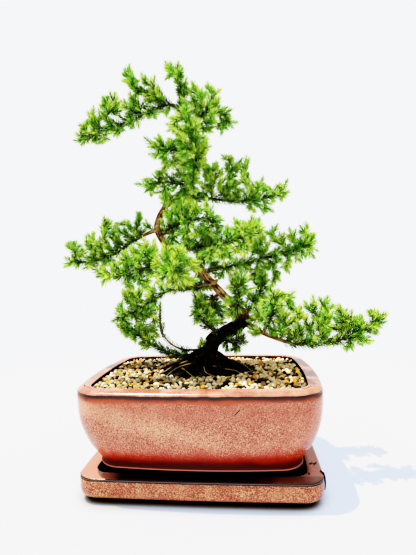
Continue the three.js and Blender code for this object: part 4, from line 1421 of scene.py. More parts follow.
        limb=[(4, -2, 111), (-8, -11, 111), (-18, -16, 113), (-27, -18, 118), (-33, -18, 125)],
        stem=[(-36, -17, 133), (-37, -15, 142), (-37, -12, 159)],
        tips=[(-43, -20, 144), (0, -9, 119), (4, -11, 121), (-3, -11, 116)],
    ),
    SprayPlan(
        "spray_trunk_left", youth_and_light=-0.1,
        limb=[(18, -4, 125), (12, -12, 129)],
        stem=[(6, -17, 134), (0, -20, 142), (-2, -20, 162)],
        tips=[(-3, -32, 138), (9, -26, 156), (1, -22, 148), (18, -16, 140)],
        seen=[
            (198, 295), (203, 300), (206, 307), (210, 312), (208, 320), (200, 322), (213, 318), (206, 327),
            (214, 325),
        ],
    ),
    SprayPlan(
        "spray_right_mid", youth_and_light=0.03, bare=0.1, girth=0.75,
        limb=[(1, 6, 181), (9, 11, 184), (18, 16, 186)],
        stem=[(28, 21, 188), (40, 26, 190), (56, 30, 194), (76, 30, 198), (112, 24, 210)],
        tips=[
            (104, 32, 227), (73, 34, 228), (86, 20, 213), (104, 20, 193), (82, 26, 181), (66, 24, 167),
            (55, 38, 217), (50, 40, 178), (97, 38, 206), (75, 14, 190), (40, 32, 210), (60, 16, 204),
            (42, 32, 170),
        ],
        seen=[
            (228, 262), (236, 256), (242, 262), (250, 258), (247, 248), (253, 244), (259, 247), (262, 239),
            (266, 231), (272, 231), (277, 238), (275, 247), (283, 244), (281, 236), (290, 240), (296, 244),
            (294, 236), (299, 230), (305, 228), (308, 236), (314, 241), (309, 247), (313, 252), (305, 254),
            (298, 250), (297, 258), (290, 257), (283, 259), (287, 266), (279, 268), (273, 264), (267, 270),
            (273, 275), (265, 277), (258, 268), (262, 262), (252, 270), (246, 268), (241, 272), (255, 279),
            (226, 273), (236, 269), (218, 272), (232, 275), (241, 266), (256, 263), (268, 262), (278, 261),
            (292, 262), (285, 271), (300, 256), (306, 258), (292, 231), (303, 234), (297, 238), (262, 252),
            (289, 245), (258, 273), (280, 276), (270, 268), (274, 270), (266, 264), (249, 268), (246, 272),
            (263, 235), (266, 243), (296, 262), (290, 261), (269, 232), (270, 237), (280, 243), (294, 255),
            (214, 277), (219, 280), (221, 275), (266, 250), (268, 246), (265, 236),
        ],
    ),
    SprayPlan(
        "spray_elbow_front",
        limb=[(35, -5, 143), (34, -14, 149)],
        stem=[(34, -22, 156), (35, -28, 163), (41, -38, 178)],
        tips=[(32, -30, 182), (28, -32, 166), (46, -36, 164), (24, -26, 154)],
        seen=[
            (232, 281), (236, 275), (243, 279), (247, 286), (240, 288), (233, 291), (238, 297), (245, 294),
            (230, 299), (243, 304), (248, 276), (241, 312), (225, 286), (228, 297), (234, 300), (246, 302),
            (232, 309), (226, 305), (231, 313), (228, 318), (233, 320), (226, 314),
        ],
    ),
    SprayPlan(
        "spray_elbow_back",
        limb=[(36, -4, 141), (43, 5, 146)],
        stem=[(49, 10, 152), (54, 14, 160), (60, 20, 185)],
        tips=[(67, 26, 168), (52, 12, 172), (63, 26, 155)],
        seen=[
            (252, 278), (257, 272), (268, 287), (262, 289), (255, 287), (250, 291), (258, 296), (265, 296),
            (247, 308), (252, 313), (260, 304), (271, 291), (246, 298), (250, 296), (263, 300),
        ],
    ),
    SprayPlan(
        "spray_right_inner",
        limb=[(56, -15, 126), (58, -17, 133)],
        stem=[(61, -18, 138), (65, -18, 148), (66, -14, 166)],
        tips=[
            (58, -22, 156), (76, -24, 158), (80, -14, 152), (56, -26, 145), (66, -18, 140), (50, -12, 141),
        ],
        seen=[
            (262, 300), (268, 306), (256, 308), (252, 316), (259, 318), (262, 324), (255, 327), (276, 313),
            (284, 293), (289, 297), (286, 306), (292, 305), (295, 313), (288, 315), (283, 322), (277, 328),
            (273, 335), (253, 334), (271, 311), (278, 303), (281, 308), (285, 301), (270, 299), (263, 309),
            (283, 312), (258, 335), (247, 321), (260, 330), (279, 321), (276, 332), (281, 327), (284, 334),
            (278, 337), (272, 330), (262, 314), (252, 310), (291, 297), (294, 303), (288, 292), (297, 308),
            (286, 318), (251, 333), (256, 322), (248, 331),
        ],
    ),
    SprayPlan(
        "spray_right_low", youth_and_light=-0.05, bare=0.85,
        limb=[(38, -5, 136), (47, -10, 130), (58, -16, 125), (69, -20, 121), (79, -22, 118)],
        stem=[
            (88, -22, 117), (96, -21, 117), (106, -18, 117), (117, -15, 118), (128, -13, 121),
            (139, -11, 126), (161, -9, 138),
        ],
        tips=[
            (72, -24, 149), (84, -30, 150), (92, -16, 150), (97, -24, 155), (104, -16, 158), (114, -12, 154),
            (119, -24, 149), (127, -6, 145), (134, -16, 139), (142, -4, 138), (148, -14, 145),
            (157, -6, 144), (157, -12, 129), (147, -16, 116), (127, -16, 110), (106, -32, 134),
            (122, 0, 128), (97, -4, 132), (78, -24, 137),
        ],
        seen=[
            (283, 335), (289, 328), (292, 320), (298, 318), (303, 311), (310, 306), (316, 302), (322, 303),
            (327, 301), (333, 304), (337, 311), (341, 314), (346, 312), (347, 320), (340, 322), (333, 318),
            (326, 314), (319, 312), (312, 314), (305, 320), (299, 327), (293, 334), (303, 335), (310, 330),
            (317, 325), (324, 325), (331, 329), (338, 331), (345, 328), (351, 322), (357, 320), (363, 317),
            (368, 311), (374, 313), (371, 322), (363, 326), (356, 330), (349, 335), (334, 338), (325, 338),
            (316, 337), (309, 341), (355, 338), (362, 335), (369, 332), (376, 326), (368, 340), (360, 344),
            (352, 345), (343, 346), (300, 324), (296, 331), (304, 333), (308, 338), (323, 309), (330, 316),
            (327, 306), (350, 347), (355, 343), (299, 336), (314, 320), (320, 319), (327, 320), (339, 335),
            (306, 326), (313, 332), (320, 331), (328, 333), (335, 325), (343, 323), (290, 334), (322, 341),
            (318, 315), (312, 309), (331, 312), (335, 308), (292, 327), (286, 332), (284, 322), (287, 337),
        ],
    ),
    SprayPlan(
        "spray_base_right", youth_and_light=-0.35,
        limb=[(17, -3, 121), (24, -11, 119)],
        stem=[(30, -17, 118), (42, -28, 121)],
        tips=[(34, -26, 112), (36, -24, 128)],
        seen=[
            (232, 336), (238, 334), (236, 342), (234, 348), (228, 345), (226, 351), (222, 346), (236, 353),
            (228, 338),
        ],
    ),
    SprayPlan(
        "spray_back_middle", youth_and_light=-0.15,
        limb=[(-5, 7, 186), (-3, 18, 193), (0, 26, 200)],
        stem=[(1, 32, 207), (2, 38, 229)],
        tips=[(-16, 40, 217), (18, 44, 212), (9, 38, 193), (-11, 46, 199)],
        seen=[
            (198, 262), (206, 266), (212, 268), (218, 264), (192, 254), (198, 250), (211, 252), (225, 268),
            (188, 264), (194, 268), (203, 271), (210, 262), (190, 270), (198, 276), (206, 276), (200, 266),
            (203, 286), (207, 290), (201, 281), (213, 291), (199, 227), (196, 225),
        ],
    ),
    SprayPlan(
        "spray_back_lower", youth_and_light=-0.2,
        limb=[(17, 2, 163), (11, 13, 157), (5, 22, 152)],
        stem=[(0, 29, 148), (-6, 38, 161)],
        tips=[(-14, 42, 145), (2, 44, 134), (14, 38, 152), (-12, 36, 130)],
        seen=[
            (206, 296), (218, 308), (215, 314), (222, 317), (220, 323), (226, 318), (229, 312), (212, 322),
            (225, 325), (210, 320), (216, 325), (228, 306),
        ],
    ),
    SprayPlan(
        "spray_back_upper", youth_and_light=-0.1,
        limb=[(-29, 0, 248), (-26, 11, 248), (-23, 19, 249)],
        stem=[(-20, 26, 251), (-14, 40, 264)],
        tips=[(-32, 32, 243), (-37, 22, 259), (-2, 36, 266), (-14, 34, 240)],
        seen=[
            (166, 200), (172, 205), (181, 202), (196, 203), (177, 196), (166, 192), (174, 212), (184, 212),
            (194, 215), (203, 213), (160, 203), (190, 222),
        ],
    ),
]

# Roots that lie on the mound, as x and y; the first ones are thick and leave the trunk.
ROOTS: list[Route] = [
    [(5, -2), (12, -12), (21, -18), (30, -18), (36, -14)],
    [(0, 0), (-10, 1), (-22, -1), (-31, -6), (-37, -9)],
    [(2, -3), (-6, -11), (-13, -17), (-16, -22)],
    [(7, 1), (18, 2), (29, -2), (38, -8)],
    [(3, -4), (4, -13), (8, -21)],
    [(6, 3), (16, 11), (26, 14), (34, 12)],
    [(0, 3), (-8, 12), (-20, 16), (-30, 14)],
    [(4, 4), (5, 13), (3, 23)],
]
FINE_ROOTS: list[Route] = [
    [(6, -24), (13, -28), (23, -29), (32, -25), (37, -20)],
    [(-18, -14), (-12, -21), (-5, -27), (1, -33)],
    [(-14, -2), (-26, -3), (-36, -9), (-44, -16)],
    [(14, 4), (26, 6), (37, 2), (45, -6), (49, -13)],
    [(10, -12), (20, -14), (31, -12), (42, -14)],
    [(-6, -10), (-16, -12), (-27, -16), (-33, -22)],
    [(-8, 12), (-20, 16), (-33, 14), (-45, 8)],
    [(8, 12), (18, 19), (30, 20), (41, 14)],
    [(2, -14), (4, -21), (12, -25), (20, -32)],
    [(-2, 14), (-8, 22), (-18, 27)],
]

# ---------------------------------------------------------------- pot, tray and what they hold


def mound_ring(share: float, angles: Array) -> Array:
    """The mound's outline at a share of its size, as rows of x and y.

    Args:
        share: 1 for the mound's edge, less for a ring inside it.
        angles: where round the mound, in radians.

    Returns:
        One row for each angle.
    """
    wave = 1 + 0.06 * np.sin(3 * angles + 1) + 0.04 * np.sin(5 * angles)
    out = np.stack([np.cos(angles), np.sin(angles)], -1)
    return MOUND_MIDDLE + MOUND_REACH * wave[..., None] * share * out


def mound_share(flat: Array) -> Array:
    """How far out on the mound places are: 0 at the trunk, 1 at the mound's edge.

    Args:
        flat: rows of x and y in millimetres.

    Returns:
        One number for each row.
    """
    out = flat - MOUND_MIDDLE
    edge = mound_ring(1, np.arctan2(*(out / MOUND_REACH).T[::-1])) - MOUND_MIDDLE
    return np.hypot(*out.T) / np.hypot(*edge.T)


def mound_height(flat: Array) -> Array:
    """The height of the soil's surface at rows of x and y."""
    return MOUND_FOOT + MOUND_RISE * np.interp(mound_share(flat), *MOUND_SLOPE)


@dataclass
class Pot(Maker):
    """The glazed pot: a body that tapers to a recessed foot, under a broad flat rim."""

    outside: Route = (
        (FOOT_LINE, 15.4), (26.5, 15.0), (27.1, 15.1), (27.5, 15.7), (31, 14.9), (35, 12.8), (41, 9.4),
        (47, 6.6), (56, 3.4), (65, 1.3), (76, 0.2), (85.4, 0.05), (86.4, 0.5), (LIP_LINE, 0.35),
        (87.5, 0), (88.9, 0.7), (90.3, 2.6), (RIM_TOP, 6),
    )
    inside: Route = (
        (RIM_TOP, 0.2), (89.4, -0.4), (80, 0.2), (56, 3), (41, 8), (POT_FLOOR, 16),
    )
    recess: float = 4.0
    wall: float = 7.0
    hole_radius: float = 7.0
    hole_ends: tuple[float, float] = (8.0, 48.0)
    notch: tuple[float, float] = (16.0, 3.0)

    def wall_ring(self, height: float, gap: float = 0.0) -> Array:
        """The inside outline at a height, moved in by a gap."""
        heights, insets = zip(*reversed(self.inside))
        return POT_OPENING.ring(height, float(np.interp(height, heights, insets)) + gap)

    def build(self, shop: Workshop) -> list[Piece]:
        """Makes the pot, with its drain holes and the notches in its foot.

        Args:
            shop: the workshop that turns shapes into pieces.

        Returns:
            The new pieces.
        """
        rest = TRAY_FLOOR + SEAT_GAP
        inner = Outline(POT_FOOT.half_x - self.wall, POT_FOOT.half_y - self.wall, 10)
        rings = [inner.ring(rest + self.recess), inner.ring(rest)]
        rings += [POT_FOOT.ring(rest), POT_FOOT.ring(FOOT_LINE)]
        dresses = [Coat.FOOT] * len(rings)
        for height, inset in smooth_profile(self.outside, 4):
            rings.append(POT_RIM.ring(height, inset))
            dresses.append(Coat.GLAZE)
        for height, inset in smooth_profile([(RIM_TOP, -2.5), *self.inside], 3):
            rings.append(POT_OPENING.ring(height, inset))
            dresses.append(Coat.GLAZE if height > RIM_TOP - 0.5 else Coat.INSIDE)
        shape = Shape()
        shape.add_loft(rings, dresses[:-1])
        # The pot's inside and its recessed foot wear near-black painted shade.
        materials = [
            PotGlaze().material(),
            GlazeInShade("pot_inside", lifted=paint(40, 22, 18)).material(),
            GlazeInShade("pot_foot", sheen=0.6).material(),
        ]
        piece = shop.make("pot_body", shape, materials, "pot_glaze", ("pot",))
        self.cut(shop, piece, rest)
        return [piece]

    def cut(self, shop: Workshop, piece: Piece, rest: float) -> None:
        """Cuts the drain holes and the foot's notches out of the pot.

        Args:
            shop: the workshop that turns shapes into pieces.
            piece: the pot, which is cut.
            rest: the height the pot stands at.
        """
        width, height = self.notch
        corners = np.array([(-1, -1), (1, -1), (1, 1), (-1, 1)]) * (self.wall + 4, width / 2)
        cutter = Shape()
        for side in (-1, 1):
            hole = circle(32) * self.hole_radius + [side * HOLE_SPACING / 2, 0]
            cutter.add_loft([at_height(hole, z) for z in self.hole_ends])
            notch = corners + [side * (POT_FOOT.half_x - self.wall / 2), 0]
            cutter.add_loft([at_height(notch, z) for z in (rest - height, rest + height)])
        tool = shop.make("drain_cutter", cutter, [], None)
        change = piece.modifiers.new("drains", "BOOLEAN")
        change.operation = "DIFFERENCE"
        change.solver = "EXACT"
        change.object = tool
        bake_modifiers(piece)
        bpy.data.objects.remove(tool)


@dataclass
class Tray(Maker):
    """The shallow humidity tray under the pot, on four low feet."""

    profile: Route = (
        (4, 5.5), (4.5, 3.6), (5.4, 2.0), (7.2, 0.8), (9.5, 0.3), (14, 0.1), (18.4, 0.05), (19.3, 0.5),
        (19.7, 0.2), (20.4, 0.3), (20.9, 1.2), (21, 2.6), (20.9, 10.2), (20.4, 11.6), (19, 12.4),
        (13, 13.7), (TRAY_FLOOR, 15),
    )
    well_inset: float = 11.8
    foot: Route = ((0.0, 9.2), (0.5, 9.6), (2.0, 10.0), (5.0, 10.0))
    foot_place: tuple[float, float] = (77.0, 49.0)

    def build(self, shop: Workshop) -> list[Piece]:
        """Makes the dish and its feet as one piece.

        Args:
            shop: the workshop that turns shapes into pieces.

        Returns:
            The new pieces.
        """
        steps = smooth_profile(self.profile, 3)
        shape = Shape()
        dresses = [Coat.INSIDE if inset > self.well_inset else Coat.GLAZE for _, inset in steps]
        shape.add_loft([TRAY_LIP.ring(height, inset) for height, inset in steps], dresses[1:])
        for corner in ((-1, -1), (-1, 1), (1, -1), (1, 1)):
            middle = np.array(self.foot_place) * corner
            rings = [at_height(circle(40) * radius + middle, height) for height, radius in self.foot]
            shape.add_loft(rings, [Coat.FOOT] * (len(rings) - 1))
        # The tray's well and its feet wear near-black painted shade.
        materials = [
            TrayGlaze().material(),
            GlazeInShade("tray_well", lifted=paint(90, 22, 12), sheen=0.15).material(),
            GlazeInShade("tray_feet", deep=paint(10, 9, 9), lifted=paint(24, 20, 18), sheen=0.7).material(),
        ]
        return [shop.make("tray_dish", shape, materials, "tray_glaze", ("tray",))]


@dataclass
class DrainMeshes(Maker):
    """A woven plastic square over each drain hole."""

    side: float = 24.0
    thickness: float = 1.2
    strands: int = 13
    strand_radius: float = 0.3
    weave: float = 0.28

    def build(self, shop: Workshop) -> list[Piece]:
        """Makes both meshes from crossed strands.

        Args:
            shop: the workshop that turns shapes into pieces.

        Returns:
            The new pieces.
        """
        material = Plastic().material()
        made = []
        for name, side in (("left", -1), ("right", 1)):
            shape = Shape()
            middle = np.array([side * HOLE_SPACING / 2, 0, POT_FLOOR + SEAT_GAP + self.thickness / 2])
            half = self.side / 2
            for place in np.linspace(-half + 0.5, half - 0.5, self.strands):
                for swap in (0, 1):
                    along = np.linspace(-half, half, 2 * self.strands)
                    wave = self.weave * np.sin(along * math.pi * (self.strands - 1) / self.side)
                    line = np.stack([along, np.full_like(along, place), wave * (1 - 2 * swap)], -1)
                    route = line[:, [1, 0, 2]] if swap else line
                    shape.add_tube(Path(route + middle), np.full(len(along), self.strand_radius), 6)
            node = f"drain_mesh_{name}"
            made.append(shop.make(f"{node}_woven", shape, [material], "mesh_plastic", (node,)))
        return made


def stone_ball(level: int) -> tuple[Array, Array]:
    """A round ball of small triangles.

    Args:
        level: how often its faces are split in four.

    Returns:
        Its points at length one, and its faces.
    """
    golden = (1 + 5**0.5) / 2
    points = [(-1, golden, 0), (1, golden, 0), (-1, -golden, 0), (1, -golden, 0)]
    points = points + [(z, x, y) for x, y, z in points] + [(y, z, x) for x, y, z in points]
    faces = [
        (0, 11, 5), (0, 5, 1), (0, 1, 7), (0, 7, 10), (0, 10, 11), (1, 5, 9), (5, 11, 4),
        (11, 10, 2), (10, 7, 6), (7, 1, 8), (3, 9, 4), (3, 4, 2), (3, 2, 6), (3, 6, 8), (3, 8, 9),
        (4, 9, 5), (2, 4, 11), (6, 2, 10), (8, 6, 7), (9, 8, 1),
    ]
    ball = [unit(np.array(point, dtype=float)) for point in points]
    for _ in range(level):
        halves: dict[tuple[int, int], int] = {}
        split = []
        for corners in faces:
            middles = []
            for start, end in zip(corners, corners[1:] + corners[:1]):
                key = (min(start, end), max(start, end))
                if key not in halves:
                    halves[key] = len(ball)
                    ball.append(unit(ball[start] + ball[end]))
                middles.append(halves[key])
            first, second, third = corners
            ab, bc, ca = middles
            split += [(first, ab, ca), (second, bc, ab), (third, ca, bc), (ab, bc, ca)]
        faces = split
    return np.array(ball), np.array(faces)


def add_stones(shape: Shape, places: Array, sizes: Array, rng: np.random.Generator, level: int = 1) -> None:
    """Adds a lumpy stone at each place.

    Args:
        shape: the mesh that takes them.
        places: the middles of the stones.
        sizes: their radii.
        rng: the random draw.
        level: how finely the ball is split.
    """
    ball, faces = stone_ball(level)
    for place, size in zip(places, sizes):
        axes, _ = np.linalg.qr(rng.normal(size=(3, 3)))
        squash = np.array([1.12, rng.uniform(0.8, 1.05), rng.uniform(0.6, 0.9)])
        waves = rng.normal(size=(3, 3))
        lumps = 1 + 0.09 * np.sin(ball @ waves.T * 2.3 + rng.uniform(0, 6, 3)).sum(-1, keepdims=True)
        points = (ball * lumps * squash) @ axes.T * size
        if np.linalg.det(axes) < 0:
            points = -points
        # The second number, a point's height on its stone, drives the painted shade on the underside of a
        # gravel stone.
        growth = np.column_stack([
            np.full(len(ball), rng.random()),
            np.clip(points[:, 2] / size * 0.5 + 0.5, 0, 1),
            np.full(len(ball), rng.random()),
        ])
        shape.add(points + place, faces, Bed.STONE, growth)


@dataclass
class Gravel(Maker):
    """The pale top dressing of single stones, round the mound and up to the pot's wall."""

    pot: Pot
    stones: int = 2600
    tries: int = 60000
    radii: tuple[float, float] = (1.15, 2.4)
    bed_depth: float = 1.6

    def room_to_wall(self, places: Array) -> Array:
        """How far places are inside the pot's wall.

        Args:
            places: rows of x and y.

        Returns:
            The distance of each from the nearest side.
        """
        ring = self.pot.wall_ring(GRAVEL_LEVEL)[:, :2]
        after = np.roll(ring, -1, axis=0)
        inward = unit(np.stack([-(after - ring)[:, 1], (after - ring)[:, 0]], -1))
        return ((places[:, None] - ring[None]) * inward[None]).sum(-1).min(1)

    def scatter(self, rng: np.random.Generator) -> tuple[Array, Array]:
        """Throws stones until no more fit.

        Args:
            rng: the source of random draws.

        Returns:
            The places of the stones as rows of x and y, and their radii.
        """
        half = np.array((POT_OPENING.half_x, POT_OPENING.half_y))
        places = rng.uniform(-half, half, (self.tries, 2))
        sizes = self.radii[0] + (self.radii[1] - self.radii[0]) * rng.random(self.tries) ** 1.4
        first = self.tries // 3
        order = np.argsort(-sizes[:first])
        sizes[:first] = sizes[order]
        places[:first] = places[order]
        inside = (self.room_to_wall(places) > sizes * 0.8 + 0.2) & (mound_share(places) > 0.97)
        places, sizes = places[inside], sizes[inside]
        kept = np.zeros((self.stones, 2))
        kept_sizes = np.zeros(self.stones)
        count = 0
        for place, size in zip(places, sizes):
            gaps = np.hypot(*(kept[:count] - place).T)
            if count and (gaps < 0.9 * (kept_sizes[:count] + size)).any():
                continue
            kept[count], kept_sizes[count] = place, size
            count += 1
            if count == self.stones:
                break
        return kept[:count], kept_sizes[:count]

    def build(self, shop: Workshop) -> list[Piece]:
        """Makes the stones on their dark bed.

        Args:
            shop: the workshop that turns shapes into pieces.

        Returns:
            The new pieces.
        """
        rng = np.random.default_rng(SEED)
        places, sizes = self.scatter(rng)
        level = GRAVEL_LEVEL + GRAVEL_RISE * np.clip(2.2 - mound_share(places), 0, 1)
        swell = np.array([noise.noise(Vector((x * 0.05, y * 0.05, 3))) for x, y in places])
        heights = level + 0.9 * swell + rng.uniform(-0.5, 0.5, len(places)) - 0.35 * sizes
        shape = Shape()
        add_stones(shape, np.column_stack([places, heights]), sizes, rng)
        self.add_bed(shape)
        LOG.info("gravel: %d stones", len(places))
        materials = [Stone().material(), Earth("bed").material()]
        return [shop.make("gravel_stones", shape, materials, "gravel", ("gravel",))]

    def add_bed(self, shape: Shape) -> None:
        """Adds the dark ring of fine grit that the stones lie on, from the mound to the wall.

        Args:
            shape: the shape that takes the bed.
        """
        count = 120
        near = mound_ring(0.96, np.linspace(0, TURN, count, endpoint=False))
        wall = self.pot.wall_ring(GRAVEL_LEVEL, SEAT_GAP)
        bearings = np.arctan2(wall[:, 1], wall[:, 0])
        order = np.argsort(bearings)
        reaches = np.hypot(*wall[order, :2].T)
        reach = np.interp(np.arctan2(near[:, 1], near[:, 0]), bearings[order], reaches, period=TURN)
        far = unit(near) * reach[:, None]
        low, high = SHELF + SEAT_GAP, GRAVEL_LEVEL - self.bed_depth
        rings = [at_height(edge, height) for edge, height in (
            (near, high), (near * 0.5 + far * 0.5, high), (far, high), (far, low), (near, low),
        )]
        here = np.arange(count)
        after = (here + 1) % count
        faces = []
        for row in range(len(rings)):
            start, end = row * count, (row + 1) % len(rings) * count
            faces.append(np.stack([start + here, end + here, end + after, start + after], -1))
        shape.add(np.vstack(rings), np.vstack(faces), Bed.GRIT)


@dataclass
class Soil(Maker):
    """The root ball with its mound, and the crumbs that lie on it."""

    pot: Pot
    crumbs: int = 900
    across: int = 46
    rings: tuple[float, ...] = (29.9, 41, 56, SHELF)
    shoulder: float = 86.5
    roughness: float = 1.6

    def build(self, shop: Workshop) -> list[Piece]:
        """Makes the soil.

        Args:
            shop: the workshop that turns shapes into pieces.

        Returns:
            The new pieces.
        """
        rng = np.random.default_rng(SEED + 1)
        rings = [self.pot.wall_ring(height, SEAT_GAP) for height in self.rings]
        x, y, _ = rings[0].T
        angles = np.arctan2(y * MOUND_REACH[0] / MOUND_REACH[1], x)
        rings += [at_height(mound_ring(1, angles), height) for height in (SHELF, self.shoulder)]
        for share in np.linspace(1, 0.02, self.across):
            flat = mound_ring(float(share), angles)
            rough = np.array([
                self.roughness * noise.fractal(Vector((x * 0.16, y * 0.16, 0)), 0.8, 2.1, 4) for x, y in flat
            ])
            heights = mound_height(flat) + rough * min(1.0, 3 * (1 - share) + 0.3)
            rings.append(np.column_stack([flat, heights]))
        shape = Shape()
        shape.add_loft(rings)
        turn = rng.uniform(0, TURN, self.crumbs)
        share = np.sqrt(rng.random(self.crumbs)) * 1.04
        flat = (mound_ring(1, turn) - MOUND_MIDDLE) * share[:, None] + MOUND_MIDDLE
        sizes = 0.35 + 0.9 * rng.random(self.crumbs) ** 2
        heights = mound_height(flat) + sizes * 0.5
        add_stones(shape, np.column_stack([flat, heights]), sizes, rng, 0)
        return [shop.make("soil_mound", shape, [Earth().material()], "soil", ("soil",))]


# ---------------------------------------------------------------- wood


@dataclass
class Wood(Maker):
    """The trunk, its limbs and surface roots, fused as they grew, with flaky bark."""

    voxel: float = 0.55
    limb_radius: tuple[float, float] = (2.1, 1.5)
    flake_depth: float = 0.11
    root_rise: float = 7.0
    root_thickness: float = 3.6
    root_end: float = 0.7
    sides: int = 14
    # How painted shade darkens the bark low on the trunk, and how much lighter the wood reaching out to the
    # sides is left.
    shade_top: float = 151.0
    shade_fade: float = 14.0
    deepest_shade: float = 0.97
    aside_from: float = 28.0
    aside_fade: float = 10.0
    aside_height: float = 101.0
    aside_light: float = 0.8
    middle_x: float = 12.0
    old_radius: float = 2.4
    knots: Sequence[tuple[Route, float]] = (
        ([(38, -5, 136), (43, -9, 133), (46, -11, 131)], 2.6),
        ([(38, -4, 137), (44, 0, 138), (47, 2, 139)], 2.2),
        ([(33, -6, 130), (35, -11, 126)], 2.4),
        ([(36, -6, 143), (40, -9, 147)], 1.8),
        ([(10, 3, 171), (15, 0, 174)], 1.6),
        ([(2, 6, 180), (5, 1, 184)], 1.5),
        ([(-38, -3, 222), (-43, -6, 224)], 1.5),
        ([(13, -3, 124), (6, -3, 117), (2, -3, 108)], 4.0),
        ([(36, -5, 138), (32, -6, 139), (30, -6, 140)], 2.6),
    )

    def paths(self) -> list[tuple[Path, Array]]:
        """Every limb's middle line, with its radius at even steps.

        Returns:
            One pair for each limb.
        """
        trunk = np.array([(3, 0, 84, 9.5), *TRUNK], dtype=float)
        line = Path(catmull_rom(trunk[:, :3], 12))
        steps = np.interp(np.linspace(0, line.length, 160), line.reached, np.arange(len(line.reached)) / 12)
        wood = [(line, np.interp(steps, np.arange(len(trunk)), trunk[:, 3]))]
        for plan in SPRAYS:
            wood.append((smooth_path(plan.limb, 8), np.linspace(*self.limb_radius, 24) * plan.girth))
        for route, radius in self.knots:
            wood.append((smooth_path(route, 6), np.linspace(radius * 1.3, radius, 8)))
        for number, route in enumerate(ROOTS):
            curve = ground_curve(route)
            curve[:, 2] = mound_height(curve[:, :2]) + 0.6
            curve[:, 2] += self.root_rise * np.linspace(1, 0, len(curve)) ** 2.2
            thick = self.root_thickness - 0.2 * number
            radii = np.interp(np.linspace(0, 1, 30), [0, 0.35, 1], [thick, thick * 0.6, self.root_end])
            wood.append((Path(curve), radii))
        return wood

    def build(self, shop: Workshop) -> list[Piece]:
        """Makes the wood: tubes, fused by a remesh, then raised into bark.

        Args:
            shop: the workshop that turns shapes into pieces.

        Returns:
            The new pieces.
        """
        wood = self.paths()
        shape = Shape()
        for path, radii in wood:
            shape.add_tube(path, radii, self.sides)
        piece = shop.make("trunk_wood", shape, [Bark().material()], "bark", ("trunk",))
        fuse = piece.modifiers.new("fuse", "REMESH")
        fuse.mode = "VOXEL"
        fuse.voxel_size = self.voxel * METRES
        fuse.use_smooth_shade = True
        soften = piece.modifiers.new("soften", "SMOOTH")
        soften.iterations = 2
        bake_modifiers(piece)
        self.raise_bark(shop, piece, wood)
        return [piece]

    def raise_bark(
        self, shop: Workshop, piece: Piece, wood: list[tuple[Path, Array]]
    ) -> None:
        """Moves the skin in and out as long flakes, and notes their height, the painted shade on them and
        their youth.

        Args:
            shop: the workshop, which knows the row's frame.
            piece: the fused wood.
            wood: every limb's middle line, with its radius at even steps.
        """
        rows = []
        for path, thickness in wood:
            shares = np.linspace(0, 1, max(4, int(path.length / 1.2)))
            tangents, normals, binormals = path.frames(shares)
            turned = np.stack([normals, binormals, tangents], 1)
            thickness = np.interp(shares, np.linspace(0, 1, len(thickness)), thickness)
            rows.append((path.at(shares), turned, thickness, shares * path.length))
        middles, frames, radii, lengths = (np.concatenate(column) for column in zip(*rows))
        mesh = piece.data
        points = (read_rows(mesh, "co") - np.array(shop.axis)) / METRES
        normals = read_rows(mesh, "normal")
        owner = self.nearest(points, middles)
        local = np.einsum("nij,nj->ni", frames[owner], points - middles[owner])
        along = lengths[owner] + local[:, 2]
        heights = np.array([self.flake(x, y, z) for x, y, z in zip(local[:, 0], local[:, 1], along)])
        depth = 0.12 + self.flake_depth * radii[owner]
        moved = points + normals * ((heights - 0.45) * depth)[:, None]
        mesh.vertices.foreach_set("co", shop.to_row(moved).astype(np.float32).ravel())
        # Painted shade: full low on the trunk, fading away upwards, and weaker on the wood that reaches out
        # to the sides.
        x, _, z = points.T
        aside = np.clip((np.abs(x - self.middle_x) - self.aside_from) / self.aside_fade, 0, 1)
        aside = aside * np.clip((z - self.aside_height) / 5, 0, 1)
        wet = np.clip((self.shade_top - z) / self.shade_fade, 0, 1)
        wet = wet * (self.deepest_shade - self.aside_light * aside)
        youth = np.clip((self.old_radius - radii[owner]) / 0.8, 0, 1)
        write_growth(mesh, np.column_stack([heights, wet, youth]))
        mesh.update()

    def nearest(self, points: Array, middles: Array, block: int = 4000) -> Array:
        """For each point, which of the middles is nearest, worked out block by block.

        Args:
            points: rows of x, y and z.
            middles: the middles, as rows too.
            block: how many points are worked out at once.

        Returns:
            The number of a middle for each point.
        """
        best = []
        for start in range(0, len(points), block):
            gaps = ((points[start:start + block, None] - middles[None]) ** 2).sum(-1)
            best.append(gaps.argmin(1))
        return np.concatenate(best)

    def flake(self, x: float, y: float, along: float) -> float:
        """The height of the bark at a place round and along a limb, from 0 to 1.

        Args:
            x: one place across the limb, in millimetres.
            y: the other place across it.
            along: the place along it.

        Returns:
            The height.
        """
        ridge = noise.noise(Vector((x * 0.55, y * 0.55, along * 0.14)))
        strip = noise.noise(Vector((x * 1.3 + 9, y * 1.3, along * 0.2)))
        chip = noise.noise(Vector((x * 1.6, y * 1.6 + 5, along * 1.1)))
        return min(1.0, max(0.0, 0.5 + 0.55 * ridge + 0.4 * strip + 0.3 * chip))


